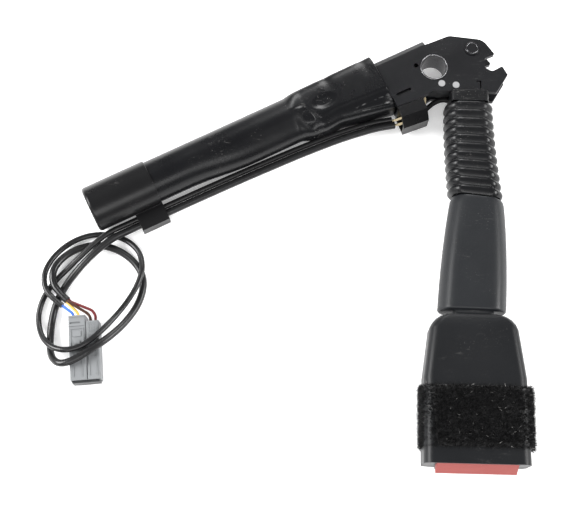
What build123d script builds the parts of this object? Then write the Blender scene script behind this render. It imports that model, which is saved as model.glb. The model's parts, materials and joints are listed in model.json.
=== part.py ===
from build123d import *
import math
import os

# Seat belt buckle on a rope stalk, with its anchor bracket and cable pretensioner.
# Millimetres. The origin is the centre of the mounting bore. X and Y lie in the plane of the
# bracket, Z is the axis of the bore, and the stalk runs along -Y.

# Anchor bracket, folded from one plate
PLATE = 3.0
BRACKET_DEPTH = 16.0
FOLD_RADIUS = 3.5
FOLD_LENGTH = 62.0
FOLD_REACH = 2.0
FOLD_HEIGHT = 7.9
TAIL_LOW_MOUTH = -17.2
TAIL_LOW_END = -11.5
NECK_WIDTH = 15.4
NECK_END = -21.5
RUNNING_GAP = 0.1

# Mounting bore and its bush
BORE_RADIUS = 7.25
BUSH_WALL = 0.95
BUSH_CHAMFER = 0.4

# Wire rope and the bend round its guide
ROPE_RADIUS = 2.4
BEND_RADIUS = 15.0
STALK_X = 20.6
ROPE_START = -112.0
ROPE_END = -156.0
GUIDE_FOOT = -13.6
GUIDE_LEFT = -3.0

# Pins and rivets
RIVET_RADIUS = 2.0
RIVET_PROUD = 0.2
RIVET_PLACES = [(4.4, -10.5), (12.8, -11.3)]
PIN_PLACE = (22.7, 12.5)
PIN_SHANK = 2.85
PIN_HEAD_RADIUS = 4.3
PIN_HEAD_HEIGHT = 0.8
PIN_GROOVE = 0.5
STUD_RADIUS = 4.0
STUD_LENGTH = 5.5
STUD_CHAMFER = 0.8

# Pretensioner tube: t runs along it, a across it, both from the bore
TUBE_ANGLE = 27.8
TUBE_OFFSET = 10.9
TUBE_RADIUS = 12.5
TUBE_WALL = 2.0
TUBE_START = -214.0
ROUND_END = -90.0
STEP_END = -79.0
MOUTH = -31.4
STEP_LOW = -14.2
STEP_HALF = 10.4
STEP_CORNER = 7.5
MOUTH_LOW = -22.6
MOUTH_CORNER = 5.5
PRESSED_HIGH = 12.4
SHOULDER_STEP = 0.2
PLUG_LENGTH = 8.0

# End cap and its clip for the leads
CAP_RADIUS = 13.5
CAP_START = -218.4
CAP_LENGTH = 38.9
CAP_END_WALL = 2.0
CAP_ROUNDING = 2.0
CAP_CLIP_START = -196.1
CAP_CLIP_LENGTH = 17.0
CAP_CLIP_EDGE = -23.9
CLIP_WALL = 1.5
CLIP_SLIT = 2.4

# Piston set
PISTON_START = -120.0
PISTON_LENGTH = 20.0
PISTON_GAP = 0.2
PISTON_CROWN = 3.0
FERRULE_RADIUS = 4.6
FERRULE_LENGTH = 11.0
FIT = 0.05
SEAL_WIDTH = 1.8
SEAL_DEPTH = 1.4
BALL_RADIUS = 1.5
BALL_COUNT = 10
BALL_SEAT = -114.0

# Gas generator between the plates
GENERATOR_ACROSS = -9.6
GENERATOR_RADIUS = 4.8
GENERATOR_START = -60.0
GENERATOR_END = -31.0
NECK_RADIUS = 3.4
GENERATOR_NECK = 4.0
IGNITER_RADIUS = 4.2
IGNITER_LENGTH = 7.0
SEAL_RING = 0.6

# Lead clip on the bracket, in its own frame along the lower edge of the plate
CLIP_CORNER = (-21.7, -25.8)
CLIP_ANGLE = 22.3
CLIP_LENGTH = 16.0
CLIP_DROP = 7.2
CLIP_SLOPE = 4.6
CLIP_GAP = 0.4
TAB_START = 2.0
TAB_END = 13.0
TAB_REACH = 8.0
SLOT_LENGTH = 9.9
SLOT_WIDTH = 1.9
SLOT_PLACE = (-18.0, -16.5)
SLOT_HOOK = 0.5
SMALL_HOLE_PLACE = (-10.6, 0.8)
SMALL_HOLE_RADIUS = 1.4

# Leads
LEAD_A_RADIUS = 2.1
LEAD_B_RADIUS = 1.65
LEAD_PITCH = 4.0
LEAD_HEIGHT = -6.0
STALK_LEAD_RADIUS = 1.5
CORE_RADIUS = 0.75
CORE_SPREAD = 1.0
CORE_OFFSET = 0.8
WIRE_RADIUS = 0.8

# Bellows and its collar
COLLAR_WIDTH = 22.0
COLLAR_TOP = -15.4
COLLAR_HALF = 11.0
BELLOWS_TOP = -22.0
BELLOWS_END = -80.0
BELLOWS_RINGS = 11
BELLOWS_WIDTH_TOP = 28.4
BELLOWS_WIDTH_END = 31.0
BELLOWS_HALF = 11.0
RING_DEPTH = 2.3
BELLOWS_WALL = 1.2
BELLOWS_CHAMFER = 4.8
BELLOWS_BOW = 3.0

# Sleeve between bellows and buckle
SLEEVE_TOP = -80.4
SLEEVE_END = -147.4
SLEEVE_WIDTH_TOP = 31.4
SLEEVE_WIDTH_END = 37.6
SLEEVE_HALF = 10.5
SLEEVE_WALL = 2.0
SLEEVE_CORNER = 6.0
SPIGOT_WIDTH = 24.0
SPIGOT_HALF = 7.0
SPIGOT_END = -153.5
SPIGOT_WALL = 1.5

# Buckle head
HEAD_TOP = -149.6
HEAD_END = -232.0
SHOULDER_RADIUS = 11.0
SHOULDER_FLAT = 28.0
SHOULDER_HALF = 8.2
HEAD_WIDTH_SHOULDER = 50.0
HEAD_WIDTH_MIDDLE = 56.4
HEAD_WIDTH_END = 57.8
HEAD_MIDDLE = -185.0
HEAD_HALF_SHOULDER = 10.3
HEAD_HALF_MIDDLE = 11.0
HEAD_HALF_END = 12.0
HEAD_CORNER = 5.5
COVER_WALL = 1.8
COVER_RIB = 1.6

# Fleece band
FLEECE_START = -189.5
FLEECE_LENGTH = 34.0
FLEECE_LEFT = 3.2
FLEECE_RIGHT = 4.8
FLEECE_HALF = 13.5
FLEECE_CORNER = 7.0

# Steel frame of the buckle and the tongue's way through it
TONGUE_Z = -3.5
TONGUE_GAP = 4.6
TONGUE_WIDTH = 30.4
FRAME_PLATE = 1.8
FRAME_TOP = -160.0
FRAME_END = -226.0
RIVET_Y = -166.0
FITTING_RIVET_RADIUS = 3.0
RIVET_HEAD_LOW = 0.7
RIVET_HEAD_HIGH = 1.4
FITTING_BARREL = 4.3
FITTING_TOP = -140.0
FITTING_SHOULDER = -158.0
FITTING_EYE_END = -172.0
FITTING_EYE_WIDTH = 14.0
FITTING_PLAY = 0.3
EAR_WIDTH = 2.0

# Latch
LATCH_Y = -190.0
LATCH_LIFT = 9.5
LATCH_BARREL = 2.0
LATCH_PIN_RADIUS = 1.5
LATCH_HALF_WIDTH = 7.0
LATCH_BARREL_HALF = 8.8
LATCH_PLATE = 2.0
TOOTH_START = 25.0
TOOTH_LENGTH = 3.5
TOOTH_HALF_WIDTH = 6.5
WINDOW_HALF_WIDTH = 7.6
WINDOW_MARGIN = 0.8
LATCH_SPRING_RADIUS = 2.3
LATCH_SPRING_LENGTH = 2.6

# Ejector
EJECTOR_FRONT = -213.3
EJECTOR_LENGTH = 10.3
EJECTOR_HALF_WIDTH = 9.0
EJECTOR_PLAY = 0.2
SPRING_WALL = 0.7
EJECTOR_SPRING_RADIUS = 1.8
SPRING_PLAY = 0.1

# Release button
BUTTON_HALF_WIDTH = 21.9
BUTTON_TOP = 9.6
BUTTON_BOTTOM = -0.2
BUTTON_TOP_EDGE = -231.5
BUTTON_BOTTOM_EDGE = -237.0
BUTTON_BACK = -226.0
BUTTON_EDGE = 0.8
BUTTON_WALL = 1.6
BUTTON_PLAY = 0.3
BUTTON_TRAVEL = 4.5
ARM_INNER = 18.4
ARM_OUTER = 20.8
ARM_LOW = 1.2
ARM_HIGH = 7.9
ARM_END = -204.5
BAR_START = -209.0
BAR_LENGTH = 4.0
BAR_HEIGHT = 1.4
BUTTON_SPRING_RADIUS = 2.0
BUTTON_SPRING_Z = 4.5
BUTTON_SPRING_LENGTH = 12.0
STOP_LENGTH = 2.0

# Tongue guide at the mouth
MOUTH_GUIDE_HALF_WIDTH = 21.0
MOUTH_GUIDE_START = -226.4
MOUTH_GUIDE_END = -233.4
MOUTH_GUIDE_TOP = -0.6
MOUTH_FLARE = 0.4

# Switch on the frame
SWITCH_SIZE = (4.4, 10.0, 5.0)
SWITCH_TOP_Y = -166.0
SWITCH_INSET = 6.2

# Connector, lying on the floor, in its own frame
FLOOR = -13.5
CONNECTOR_CORNER = (-206.7, -154.3)
CONNECTOR_ANGLE = 6.5
CONNECTOR_DEPTH = 11.0
LEFT_WIDTH = 9.6
LEFT_LENGTH = 37.0
RIGHT_WIDTH = 7.3
RIGHT_START = 3.6
HOUSING_GAP = 0.1
CAVITY_RADIUS = 1.15
CAVITY_MARGIN = 2.3
CAVITY_PITCH = 2.8
CAVITY_DEPTH = 9.0
WALL_NOTCH = 0.8
TERMINAL_LENGTH = 7.0


# Places worked out from the dimensions above

SIN = math.sin(math.radians(TUBE_ANGLE))
COS = math.cos(math.radians(TUBE_ANGLE))
PLATE_FACE = BRACKET_DEPTH / 2
PLATE_GAP = PLATE_FACE - PLATE
BUSH_RADIUS = BORE_RADIUS + BUSH_WALL
BEND_X = STALK_X - BEND_RADIUS
BEND_Y = (TUBE_OFFSET - BEND_RADIUS + SIN * BEND_X) / COS
TUBE_FRAME = Location((-TUBE_OFFSET * SIN, TUBE_OFFSET * COS, 0), (0, 0, TUBE_ANGLE))
CLIP_FRAME = Location((*CLIP_CORNER, 0), (0, 0, CLIP_ANGLE))
CONNECTOR_FRAME = Location((*CONNECTOR_CORNER, FLOOR), (0, 0, CONNECTOR_ANGLE))
BORE = TUBE_RADIUS - TUBE_WALL
FRAME_HALF_WIDTH = TONGUE_WIDTH / 2 + FRAME_PLATE
FRAME_LOW = TONGUE_Z - TONGUE_GAP / 2 - FRAME_PLATE
FRAME_HIGH = TONGUE_Z + TONGUE_GAP / 2 + FRAME_PLATE
LATCH_Z = FRAME_HIGH + LATCH_BARREL + 0.5
SWITCH_X = STALK_X - FRAME_HALF_WIDTH + SWITCH_INSET
SWITCH_Z = FRAME_HIGH + SWITCH_SIZE[2] / 2


def block(x0, x1, y0, y1, z0, z1):
    """Box between two corners."""
    return Pos((x0 + x1) / 2, (y0 + y1) / 2, (z0 + z1) / 2) * Box(abs(x1 - x0), abs(y1 - y0), abs(z1 - z0))


def beside(half_in, half_out, y0, y1, z0, z1):
    """The same box on both sides of the stalk's middle plane."""
    return [block(STALK_X + s * half_in, STALK_X + s * half_out, y0, y1, z0, z1) for s in (-1, 1)]


def wide(half, y0, y1, z0, z1):
    """Box across the stalk's middle plane."""
    return block(STALK_X - half, STALK_X + half, y0, y1, z0, z1)


def post(radius, low, high, x=0.0, y=0.0):
    """Cylinder along Z."""
    return Pos(x, y, (low + high) / 2) * Cylinder(radius, high - low)


def bar_y(radius, start, stop, x=STALK_X, z=0.0):
    """Cylinder along Y."""
    return Pos(x, (start + stop) / 2, z) * Rot(90, 0, 0) * Cylinder(radius, abs(stop - start))


def bar_x(radius, half, y, z, x=STALK_X):
    """Cylinder along X, centred."""
    return Pos(x, y, z) * Rot(0, 90, 0) * Cylinder(radius, 2 * half)


def along_tube(radius, start, stop, across=0.0):
    """Cylinder along the tube, in the tube's own frame."""
    return Pos((start + stop) / 2, across, 0) * Rot(0, 90, 0) * Cylinder(radius, stop - start)


def on_tube(t, a, z):
    """Point given along and across the tube."""
    return (t * COS - (a + TUBE_OFFSET) * SIN, t * SIN + (a + TUBE_OFFSET) * COS, z)


def on_clip(p, q, z):
    """Point given in the frame of the bracket's lead clip."""
    return tuple((CLIP_FRAME * Pos(p, q, z)).position)


def slab(wire, low, high):
    """Plate of a closed outline between two heights."""
    return Pos(0, 0, low) * extrude(make_face(wire), high - low, dir=(0, 0, 1))


def fillet_radii(points):
    """Radius of each corner of a lead: 0.45 of its shorter run over the tangent of half its turn."""
    corners = [Vector(*p) for p in points]
    radii = []
    for before, here, after in zip(corners, corners[1:], corners[2:]):
        turn = (here - before).get_angle(after - here)
        shorter = min((here - before).length, (after - here).length)
        radii.append(0.45 * shorter / math.tan(math.radians(turn) / 2))
    return radii


def cord(name, points, radius):
    """Round lead of straight runs joined by tangent arcs; prints its bends and its length."""
    radii = fillet_radii(points)
    path = FilletPolyline(*points, radius=radii)
    tube = sweep(Plane(path @ 0, z_dir=path % 0) * Circle(radius), path=path)
    ratio = tube.volume / (math.pi * radius ** 2 * path.length)
    print(name, "length", round(path.length, 1), "volume over section x length", round(ratio, 4))
    print("  radii in diameters", [round(r / (2 * radius), 1) for r in radii])
    return tube


def rounded(points, radii):
    """Closed outline with a radius at each corner."""
    return FilletPolyline(*[(x, y) for x, y in points], radius=radii, close=True)


# Bracket side

def plate_outline():
    """Outline of one bracket plate, from the fold inside the tube round to its lower edge."""
    fold_in = on_tube(-FOLD_LENGTH, FOLD_HEIGHT - FOLD_RADIUS, 0)[:2]
    fold_out = on_tube(FOLD_REACH, FOLD_HEIGHT - FOLD_RADIUS, 0)[:2]
    neck_left = STALK_X - NECK_WIDTH / 2
    neck_right = STALK_X + NECK_WIDTH / 2
    corners = [
        (fold_in, 0.5), (fold_out, 1.0), ((-3.3, 15.2), 1.0), ((9.0, 20.7), 6.0), ((29.2, 18.6), 8.0),
        ((36.2, 9.2), 0.8), ((30.2, 6.6), 1.2), ((29.8, 0.6), 2.0), ((34.4, -2.0), 2.5),
        ((40.3, 1.6), 0.8), ((43.5, -3.9), 0.8), ((36.6, -15.6), 1.2), ((neck_right + 1.6, -14.9), 1.0),
        ((neck_right, NECK_END), 1.0), ((neck_left, NECK_END), 1.0), ((neck_left - 0.6, COLLAR_TOP + 0.3), 0.8),
        ((-0.5, COLLAR_TOP + 0.4), 1.5), ((-7.3, -19.9), 1.5), (CLIP_CORNER, 0.8),
        (on_tube(MOUTH + 0.2, TAIL_LOW_MOUTH, 0)[:2], 0.5),
        (on_tube(-FOLD_LENGTH, TAIL_LOW_END, 0)[:2], 1.0),
    ]
    return rounded([c[0] for c in corners], [c[1] for c in corners])


def anchor_bracket():
    """Two plates joined by a web along the upper left edge, with bores, slots and the hook notch."""
    plates = slab(plate_outline(), PLATE_GAP, PLATE_FACE) + slab(plate_outline(), -PLATE_FACE, -PLATE_GAP)
    profile = Plane.YZ * RectangleRounded(4 * FOLD_RADIUS, BRACKET_DEPTH, FOLD_RADIUS)
    hollow = Plane.YZ * RectangleRounded(4 * FOLD_RADIUS - 2 * PLATE, 2 * PLATE_GAP, 0.5)
    length = FOLD_LENGTH + FOLD_REACH
    web = extrude(profile, length, dir=(1, 0, 0)) - extrude(hollow, length, dir=(1, 0, 0))
    web &= Pos(length / 2, 2 * FOLD_RADIUS - FOLD_RADIUS / 2, 0) * Box(length, FOLD_RADIUS, BRACKET_DEPTH)
    web = TUBE_FRAME * Pos(-FOLD_LENGTH, FOLD_HEIGHT - 2 * FOLD_RADIUS, 0) * web
    nub = slab(Polyline((28.5, 5.6), (30.9, 5.4), (32.5, 3.2), (30.6, 0.8), (28.5, 0.8), close=True),
               -PLATE_FACE, -PLATE_GAP)
    body = plates + web + nub
    body -= post(BUSH_RADIUS + RUNNING_GAP / 2, -BRACKET_DEPTH, BRACKET_DEPTH)
    body -= post(PIN_SHANK + FIT, -BRACKET_DEPTH, BRACKET_DEPTH, *PIN_PLACE)
    for place in RIVET_PLACES:
        body -= post(RIVET_RADIUS + FIT, -BRACKET_DEPTH, BRACKET_DEPTH, *place)
    body -= post(SMALL_HOLE_RADIUS, -BRACKET_DEPTH, BRACKET_DEPTH, *SMALL_HOLE_PLACE)
    slot = Pos(*SLOT_PLACE, 0) * Rot(0, 0, TUBE_ANGLE) * extrude(SlotOverall(SLOT_LENGTH, SLOT_WIDTH), BRACKET_DEPTH, both=True)
    lance = block(25.0, 27.7, -8.9, -8.1, PLATE_GAP - 1, PLATE_FACE + 1) + block(26.9, 27.7, -13.2, -8.1, PLATE_GAP - 1, PLATE_FACE + 1)
    return body - slot - lance


def mounting_bush():
    """Spacer that keeps the plates apart under the anchor bolt."""
    bush = post(BUSH_RADIUS, -PLATE_FACE, PLATE_FACE)
    bush = chamfer(bush.edges().filter_by(GeomType.CIRCLE), BUSH_CHAMFER)
    return bush - post(BORE_RADIUS, -BRACKET_DEPTH, BRACKET_DEPTH)


def rope_guide():
    """Block between the plates whose round side carries the rope through its turn."""
    half = PLATE_GAP - RUNNING_GAP
    radius = BEND_RADIUS - ROPE_RADIUS - RUNNING_GAP
    guide = post(radius, -half, half, BEND_X, BEND_Y)
    guide += block(GUIDE_LEFT, STALK_X - ROPE_RADIUS - RUNNING_GAP, GUIDE_FOOT, BEND_Y, -half, half)
    guide -= post(BUSH_RADIUS + RUNNING_GAP, -BRACKET_DEPTH, BRACKET_DEPTH)
    for place in RIVET_PLACES:
        guide -= post(RIVET_RADIUS + FIT, -BRACKET_DEPTH, BRACKET_DEPTH, *place)
    return guide


def guide_rivets():
    """Two flush rivets through both plates and the guide."""
    reach = PLATE_FACE + RIVET_PROUD
    return [post(RIVET_RADIUS, -reach, reach, *place) for place in RIVET_PLACES]


def locating_pin():
    """Pin staked on the front plate, with a stud behind the rear plate."""
    pin = post(PIN_SHANK, -PLATE_FACE, PLATE_FACE)
    head = post(PIN_HEAD_RADIUS, PLATE_FACE, PLATE_FACE + PIN_HEAD_HEIGHT)
    head = fillet(head.edges().sort_by(Axis.Z)[-1], PIN_HEAD_HEIGHT / 2)
    groove = post(PIN_SHANK + PIN_GROOVE, PLATE_FACE + PIN_HEAD_HEIGHT / 2, PLATE_FACE + 2 * PIN_HEAD_HEIGHT)
    groove -= post(PIN_SHANK, PLATE_FACE, PLATE_FACE + 2 * PIN_HEAD_HEIGHT)
    stud = post(STUD_RADIUS, -PLATE_FACE - STUD_LENGTH, -PLATE_FACE)
    stud = chamfer(stud.edges().sort_by(Axis.Z)[0], STUD_CHAMFER)
    return Pos(*PIN_PLACE, 0) * (pin + (head - groove) + stud)


def tube_section(t, low, high, half, radius, inset):
    """Face across the tube, drawn in by an inset."""
    plane = Plane(origin=(t, (low + high) / 2, 0), x_dir=(0, 1, 0), z_dir=(1, 0, 0))
    return plane * RectangleRounded(high - low - 2 * inset, 2 * (half - inset), radius - inset)


def pressed_part(inset):
    """Solid of the tube's pressed end, from the shoulder to the mouth."""
    round_half = TUBE_RADIUS - SHOULDER_STEP
    mouth_half = PLATE_FACE + RUNNING_GAP + TUBE_WALL
    return loft([
        tube_section(ROUND_END, -round_half, round_half, round_half, round_half - 0.05, inset),
        tube_section(STEP_END, STEP_LOW, PRESSED_HIGH, STEP_HALF, STEP_CORNER, inset),
        tube_section(MOUTH, MOUTH_LOW, PRESSED_HIGH, mouth_half, MOUTH_CORNER, inset),
    ], ruled=True)


def pretensioner_tube():
    """Round tube pressed flat and wide where it takes the bracket."""
    outer = along_tube(TUBE_RADIUS, TUBE_START, ROUND_END) + pressed_part(0)
    inner = along_tube(BORE, TUBE_START, ROUND_END) + pressed_part(TUBE_WALL)
    return TUBE_FRAME * (outer - inner)


def tube_end_plug():
    """Plug that closes the tube under the cap."""
    plug = along_tube(BORE - RUNNING_GAP, TUBE_START + 0.5, TUBE_START + 0.5 + PLUG_LENGTH)
    return TUBE_FRAME * chamfer(plug.edges().filter_by(GeomType.CIRCLE), 0.6)


def tube_cap():
    """End cap with a channel at its side that holds both leads."""
    cap = along_tube(CAP_RADIUS, CAP_START, CAP_START + CAP_LENGTH)
    cap = fillet(cap.edges().filter_by(GeomType.CIRCLE).sort_by(Axis.X)[0], CAP_ROUNDING)
    low = LEAD_HEIGHT - LEAD_A_RADIUS - RUNNING_GAP
    high = LEAD_HEIGHT + LEAD_A_RADIUS + RUNNING_GAP
    stop = CAP_CLIP_START + CAP_CLIP_LENGTH
    clip = block(CAP_CLIP_START, stop, CAP_CLIP_EDGE, -CAP_RADIUS + 3, low - CLIP_WALL, high + CLIP_WALL)
    cavity = block(CAP_CLIP_START - 1, stop + 1, CAP_CLIP_EDGE + CLIP_WALL, -CAP_RADIUS + 0.4, low, high)
    slit_edge = CAP_CLIP_EDGE + 2 * CLIP_WALL
    slit = block(CAP_CLIP_START - 1, stop + 1, slit_edge, slit_edge + CLIP_SLIT, low - 2 * CLIP_WALL, low)
    bore = along_tube(TUBE_RADIUS + RUNNING_GAP, CAP_START + CAP_END_WALL, stop + CAP_LENGTH)
    return TUBE_FRAME * (cap + clip - cavity - slit - bore)


def piston():
    """Hollow piston with a groove for its seal and a seat for the locking balls."""
    radius = BORE - PISTON_GAP
    stop = PISTON_START + PISTON_LENGTH
    body = along_tube(radius, PISTON_START, stop)
    body -= along_tube(FERRULE_RADIUS + FIT, PISTON_START - 1, stop - PISTON_CROWN)
    body -= along_tube(ROPE_RADIUS + PISTON_GAP, PISTON_START, stop + 1)
    seal = stop - PISTON_CROWN - SEAL_WIDTH
    body -= along_tube(radius + 1, seal, seal + SEAL_WIDTH) - along_tube(radius - SEAL_DEPTH, seal, seal + SEAL_WIDTH)
    seat = BALL_RADIUS + FIT
    body -= along_tube(radius + 1, BALL_SEAT - seat, BALL_SEAT + seat) - along_tube(
        radius - 2 * BALL_RADIUS, BALL_SEAT - seat, BALL_SEAT + seat)
    return TUBE_FRAME * body


def piston_seal():
    """Ring in the piston's groove."""
    radius = BORE - PISTON_GAP
    seal = PISTON_START + PISTON_LENGTH - PISTON_CROWN - SEAL_WIDTH
    ring = along_tube(radius, seal + FIT, seal + SEAL_WIDTH - FIT)
    return TUBE_FRAME * (ring - along_tube(radius - SEAL_DEPTH + FIT, seal, seal + SEAL_WIDTH))


def locking_balls():
    """Balls that wedge between piston and tube when the piston tries to run back."""
    pitch_radius = BORE - PISTON_GAP - BALL_RADIUS
    balls = []
    for k in range(BALL_COUNT):
        angle = 2 * math.pi * (k + 0.5) / BALL_COUNT
        place = Pos(BALL_SEAT, pitch_radius * math.cos(angle), pitch_radius * math.sin(angle))
        balls.append(TUBE_FRAME * place * Sphere(BALL_RADIUS))
    return balls


def rope_ferrule():
    """Sleeve swaged on the rope's end, pulled by the piston's crown."""
    stop = PISTON_START + PISTON_LENGTH - PISTON_CROWN - FIT
    ferrule = along_tube(FERRULE_RADIUS, stop - FERRULE_LENGTH, stop)
    return TUBE_FRAME * (ferrule - along_tube(ROPE_RADIUS + FIT, stop - FERRULE_LENGTH - 1, stop + 1))


def gas_generator():
    """Cartridge clamped between the plates, inside the pressed part of the tube."""
    body = along_tube(GENERATOR_RADIUS, GENERATOR_START, GENERATOR_END, GENERATOR_ACROSS)
    body = fillet(body.edges().filter_by(GeomType.CIRCLE), 0.8)
    neck = along_tube(NECK_RADIUS, GENERATOR_END, GENERATOR_END + GENERATOR_NECK, GENERATOR_ACROSS)
    return TUBE_FRAME * (body + neck)


def generator_seal():
    """Ring round the generator's neck."""
    middle = GENERATOR_END + GENERATOR_NECK / 2
    ring = Pos(middle, GENERATOR_ACROSS, 0) * Rot(0, 90, 0) * Torus(NECK_RADIUS + SEAL_RING + FIT, SEAL_RING)
    return TUBE_FRAME * ring


def igniter_plug():
    """Plug on the generator's end that the cores of the second lead go into."""
    start = GENERATOR_END + GENERATOR_NECK + FIT
    plug = along_tube(IGNITER_RADIUS, start, start + IGNITER_LENGTH, GENERATOR_ACROSS)
    return TUBE_FRAME * chamfer(plug.edges().filter_by(GeomType.CIRCLE).sort_by(Axis.X)[-1], 0.8)


def rope_path():
    """Centre line of the rope: along the tube, round the guide and down the stalk."""
    corner_t = (STALK_X + TUBE_OFFSET * SIN) / COS
    points = [on_tube(ROPE_START, 0, 0), on_tube(corner_t, 0, 0), (STALK_X, ROPE_END, 0)]
    return FilletPolyline(*points, radius=[BEND_RADIUS])


def wire_rope():
    """The rope from its ferrule in the piston to its fitting in the buckle."""
    path = rope_path()
    return sweep(Plane(path @ 0, z_dir=path % 0) * Circle(ROPE_RADIUS), path=path)


def bracket_lead_clip():
    """Channel under the plate's lower edge, held by a tab between the plates."""
    outer = Polyline((-CLIP_GAP, PLATE_FACE), (-CLIP_DROP, PLATE_FACE), (-CLIP_DROP - CLIP_SLOPE, 0.5),
                     (-CLIP_DROP - CLIP_SLOPE, -PLATE_FACE - 1.2), (-CLIP_GAP, -PLATE_FACE - 1.2), close=True)
    wall = CLIP_WALL
    floor = LEAD_HEIGHT - LEAD_A_RADIUS - RUNNING_GAP
    inner = Polyline((-CLIP_GAP - wall, PLATE_FACE - wall), (-CLIP_DROP + 0.6, PLATE_FACE - wall),
                     (-CLIP_DROP - CLIP_SLOPE + wall, 0.0), (-CLIP_DROP - CLIP_SLOPE + wall, floor),
                     (-CLIP_GAP - wall, floor), close=True)
    body = extrude(Plane.YZ * make_face(outer), CLIP_LENGTH, dir=(1, 0, 0))
    body -= Pos(-1, 0, 0) * extrude(Plane.YZ * make_face(inner), CLIP_LENGTH + 2, dir=(1, 0, 0))
    half = PLATE_GAP - RUNNING_GAP
    tab = block(TAB_START, TAB_END, -CLIP_GAP - wall, TAB_REACH, -half, half)
    clip = CLIP_FRAME * (body + tab)
    hook = Pos(*SLOT_PLACE, 0) * Rot(0, 0, TUBE_ANGLE) * extrude(
        SlotOverall(SLOT_LENGTH - 2 * SLOT_HOOK, SLOT_WIDTH - SLOT_HOOK), PLATE_GAP + PLATE / 2, both=True)
    return clip + hook


HELD_LEAD_LINE = [(-196.1, -18.9), (-172.0, -18.9), (-134.0, -19.4), (-92.0, -20.7), (-66.0, -22.5),
                  (-46.0, -25.5), (-34.4, -28.8)]


def held_route(shift):
    """Points of a lead along the tube, from the cap's clip to where its jacket ends at the bracket."""
    return [on_tube(t, a + shift, LEAD_HEIGHT) for t, a in HELD_LEAD_LINE]


def beyond(points, length, side=0.0, up=0.0):
    """Point straight on from the end of a route, moved sideways and up."""
    end = Vector(*points[-1])
    run = (end - Vector(*points[-2])).normalized()
    across = Vector(-run.Y, run.X, 0).normalized()
    return tuple(end + run * length + across * side + Vector(0, 0, up))


STALK_LEAD_START = [on_clip(7.0, -6.0, -5.6), on_clip(12.0, -4.9, -5.0)]


def clip_wires():
    """Light cores from the ends of both jackets into the bracket's clip, one on to the igniter."""
    plug_end = GENERATOR_END + GENERATOR_NECK + FIT + IGNITER_LENGTH
    first = [beyond(held_route(0), 0), beyond(held_route(0), 3.0), *STALK_LEAD_START]
    second = [beyond(held_route(LEAD_PITCH), 0, -CORE_OFFSET), beyond(held_route(LEAD_PITCH), 2.4, -CORE_OFFSET),
              on_clip(9.0, -3.6, -3.4),
              on_clip(16.6, -3.7, -1.4), on_clip(20.2, 3.6, -0.2), on_tube(-12.2, -13.4, 0.0),
              on_tube(-15.2, GENERATOR_ACROSS, 0), on_tube(plug_end, GENERATOR_ACROSS, 0)]
    return [cord("clip wire to the stalk", first, CORE_RADIUS), cord("clip wire to the igniter", second, CORE_RADIUS)]


def stalk_lead():
    """Lead from the bracket's clip between the plates, down the stalk and to the switch."""
    points = [STALK_LEAD_START[-1], on_clip(17.0, -3.8, -4.4), (0.6, -18.2, -3.6), (5.4, -16.0, -3.3),
              (10.4, -16.3, -3.3), (14.2, -19.0, -3.3), (16.6, -23.6, -3.1), (16.0, -38.0, -1.6), (14.8, -62.0, 0.4),
              (15.2, -96.0, -0.6), (14.6, -124.0, -1.0), (13.4, -141.0, -0.8), (12.2, -152.6, 0.6),
              (SWITCH_X, -160.4, SWITCH_Z), (SWITCH_X, SWITCH_TOP_Y, SWITCH_Z)]
    return cord("stalk lead", points, STALK_LEAD_RADIUS)


# Stalk

def octagon(y, centre, half_width, half_depth, corner):
    """Face across the stalk: a rectangle with its corners cut."""
    w, d, c = half_width, half_depth, corner
    outline = [(-w + c, -d), (w - c, -d), (w, -d + c), (w, d - c), (w - c, d), (-w + c, d), (-w, d - c), (-w, -d + c)]
    return make_face(Polyline(*[(centre + x, y, z) for x, z in outline], close=True))


def bow(y):
    """How far the bellows stands to the right of the rope, growing with the square of the drop."""
    share = (y - BELLOWS_TOP) / (BELLOWS_END - BELLOWS_TOP)
    return BELLOWS_BOW * share ** 2


def bellows_body(inset):
    """Stack of rings, each a valley and a crest, as one closed solid."""
    pitch = (BELLOWS_END - BELLOWS_TOP) / BELLOWS_RINGS
    faces = []
    for k in range(2 * BELLOWS_RINGS + 1):
        y = BELLOWS_TOP + pitch * k / 2
        share = (y - BELLOWS_TOP) / (BELLOWS_END - BELLOWS_TOP)
        width = BELLOWS_WIDTH_TOP + (BELLOWS_WIDTH_END - BELLOWS_WIDTH_TOP) * share
        drawn = inset + (RING_DEPTH if k % 2 == 0 else 0)
        faces.append(octagon(y, STALK_X + bow(y), width / 2 - drawn, BELLOWS_HALF - drawn, BELLOWS_CHAMFER - drawn / 2))
    return loft(faces, ruled=True)


def bellows():
    """Rubber boot over the rope, a stack of rings."""
    return bellows_body(0) - bellows_body(BELLOWS_WALL)


def bellows_collar():
    """Collar of the boot, round the neck of the plates, with a notch for the lead."""
    half = COLLAR_WIDTH / 2
    outer = fillet(wide(half, BELLOWS_TOP, COLLAR_TOP, -COLLAR_HALF, COLLAR_HALF).edges().filter_by(Axis.Y), 2.5)
    inner = wide(half - BELLOWS_WALL, BELLOWS_TOP, COLLAR_TOP, -COLLAR_HALF + BELLOWS_WALL, COLLAR_HALF - BELLOWS_WALL)
    notch = block(STALK_X - half - 1, STALK_X - half + 2 * BELLOWS_WALL, -19.0, COLLAR_TOP + 1, -5.4, -1.2)
    return outer - inner - notch


def sleeve_section(share, inset):
    """Rounded face across the sleeve at a share of its length."""
    y = SLEEVE_TOP + (SLEEVE_END - SLEEVE_TOP) * share
    width = SLEEVE_WIDTH_TOP + (SLEEVE_WIDTH_END - SLEEVE_WIDTH_TOP) * min(1, 2 * share)
    centre = STALK_X + BELLOWS_BOW * (1 - share)
    plane = Plane(origin=(centre, y, 0), x_dir=(1, 0, 0), z_dir=(0, -1, 0))
    return plane * RectangleRounded(width - 2 * inset, 2 * (SLEEVE_HALF - inset), SLEEVE_CORNER - inset)


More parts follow.
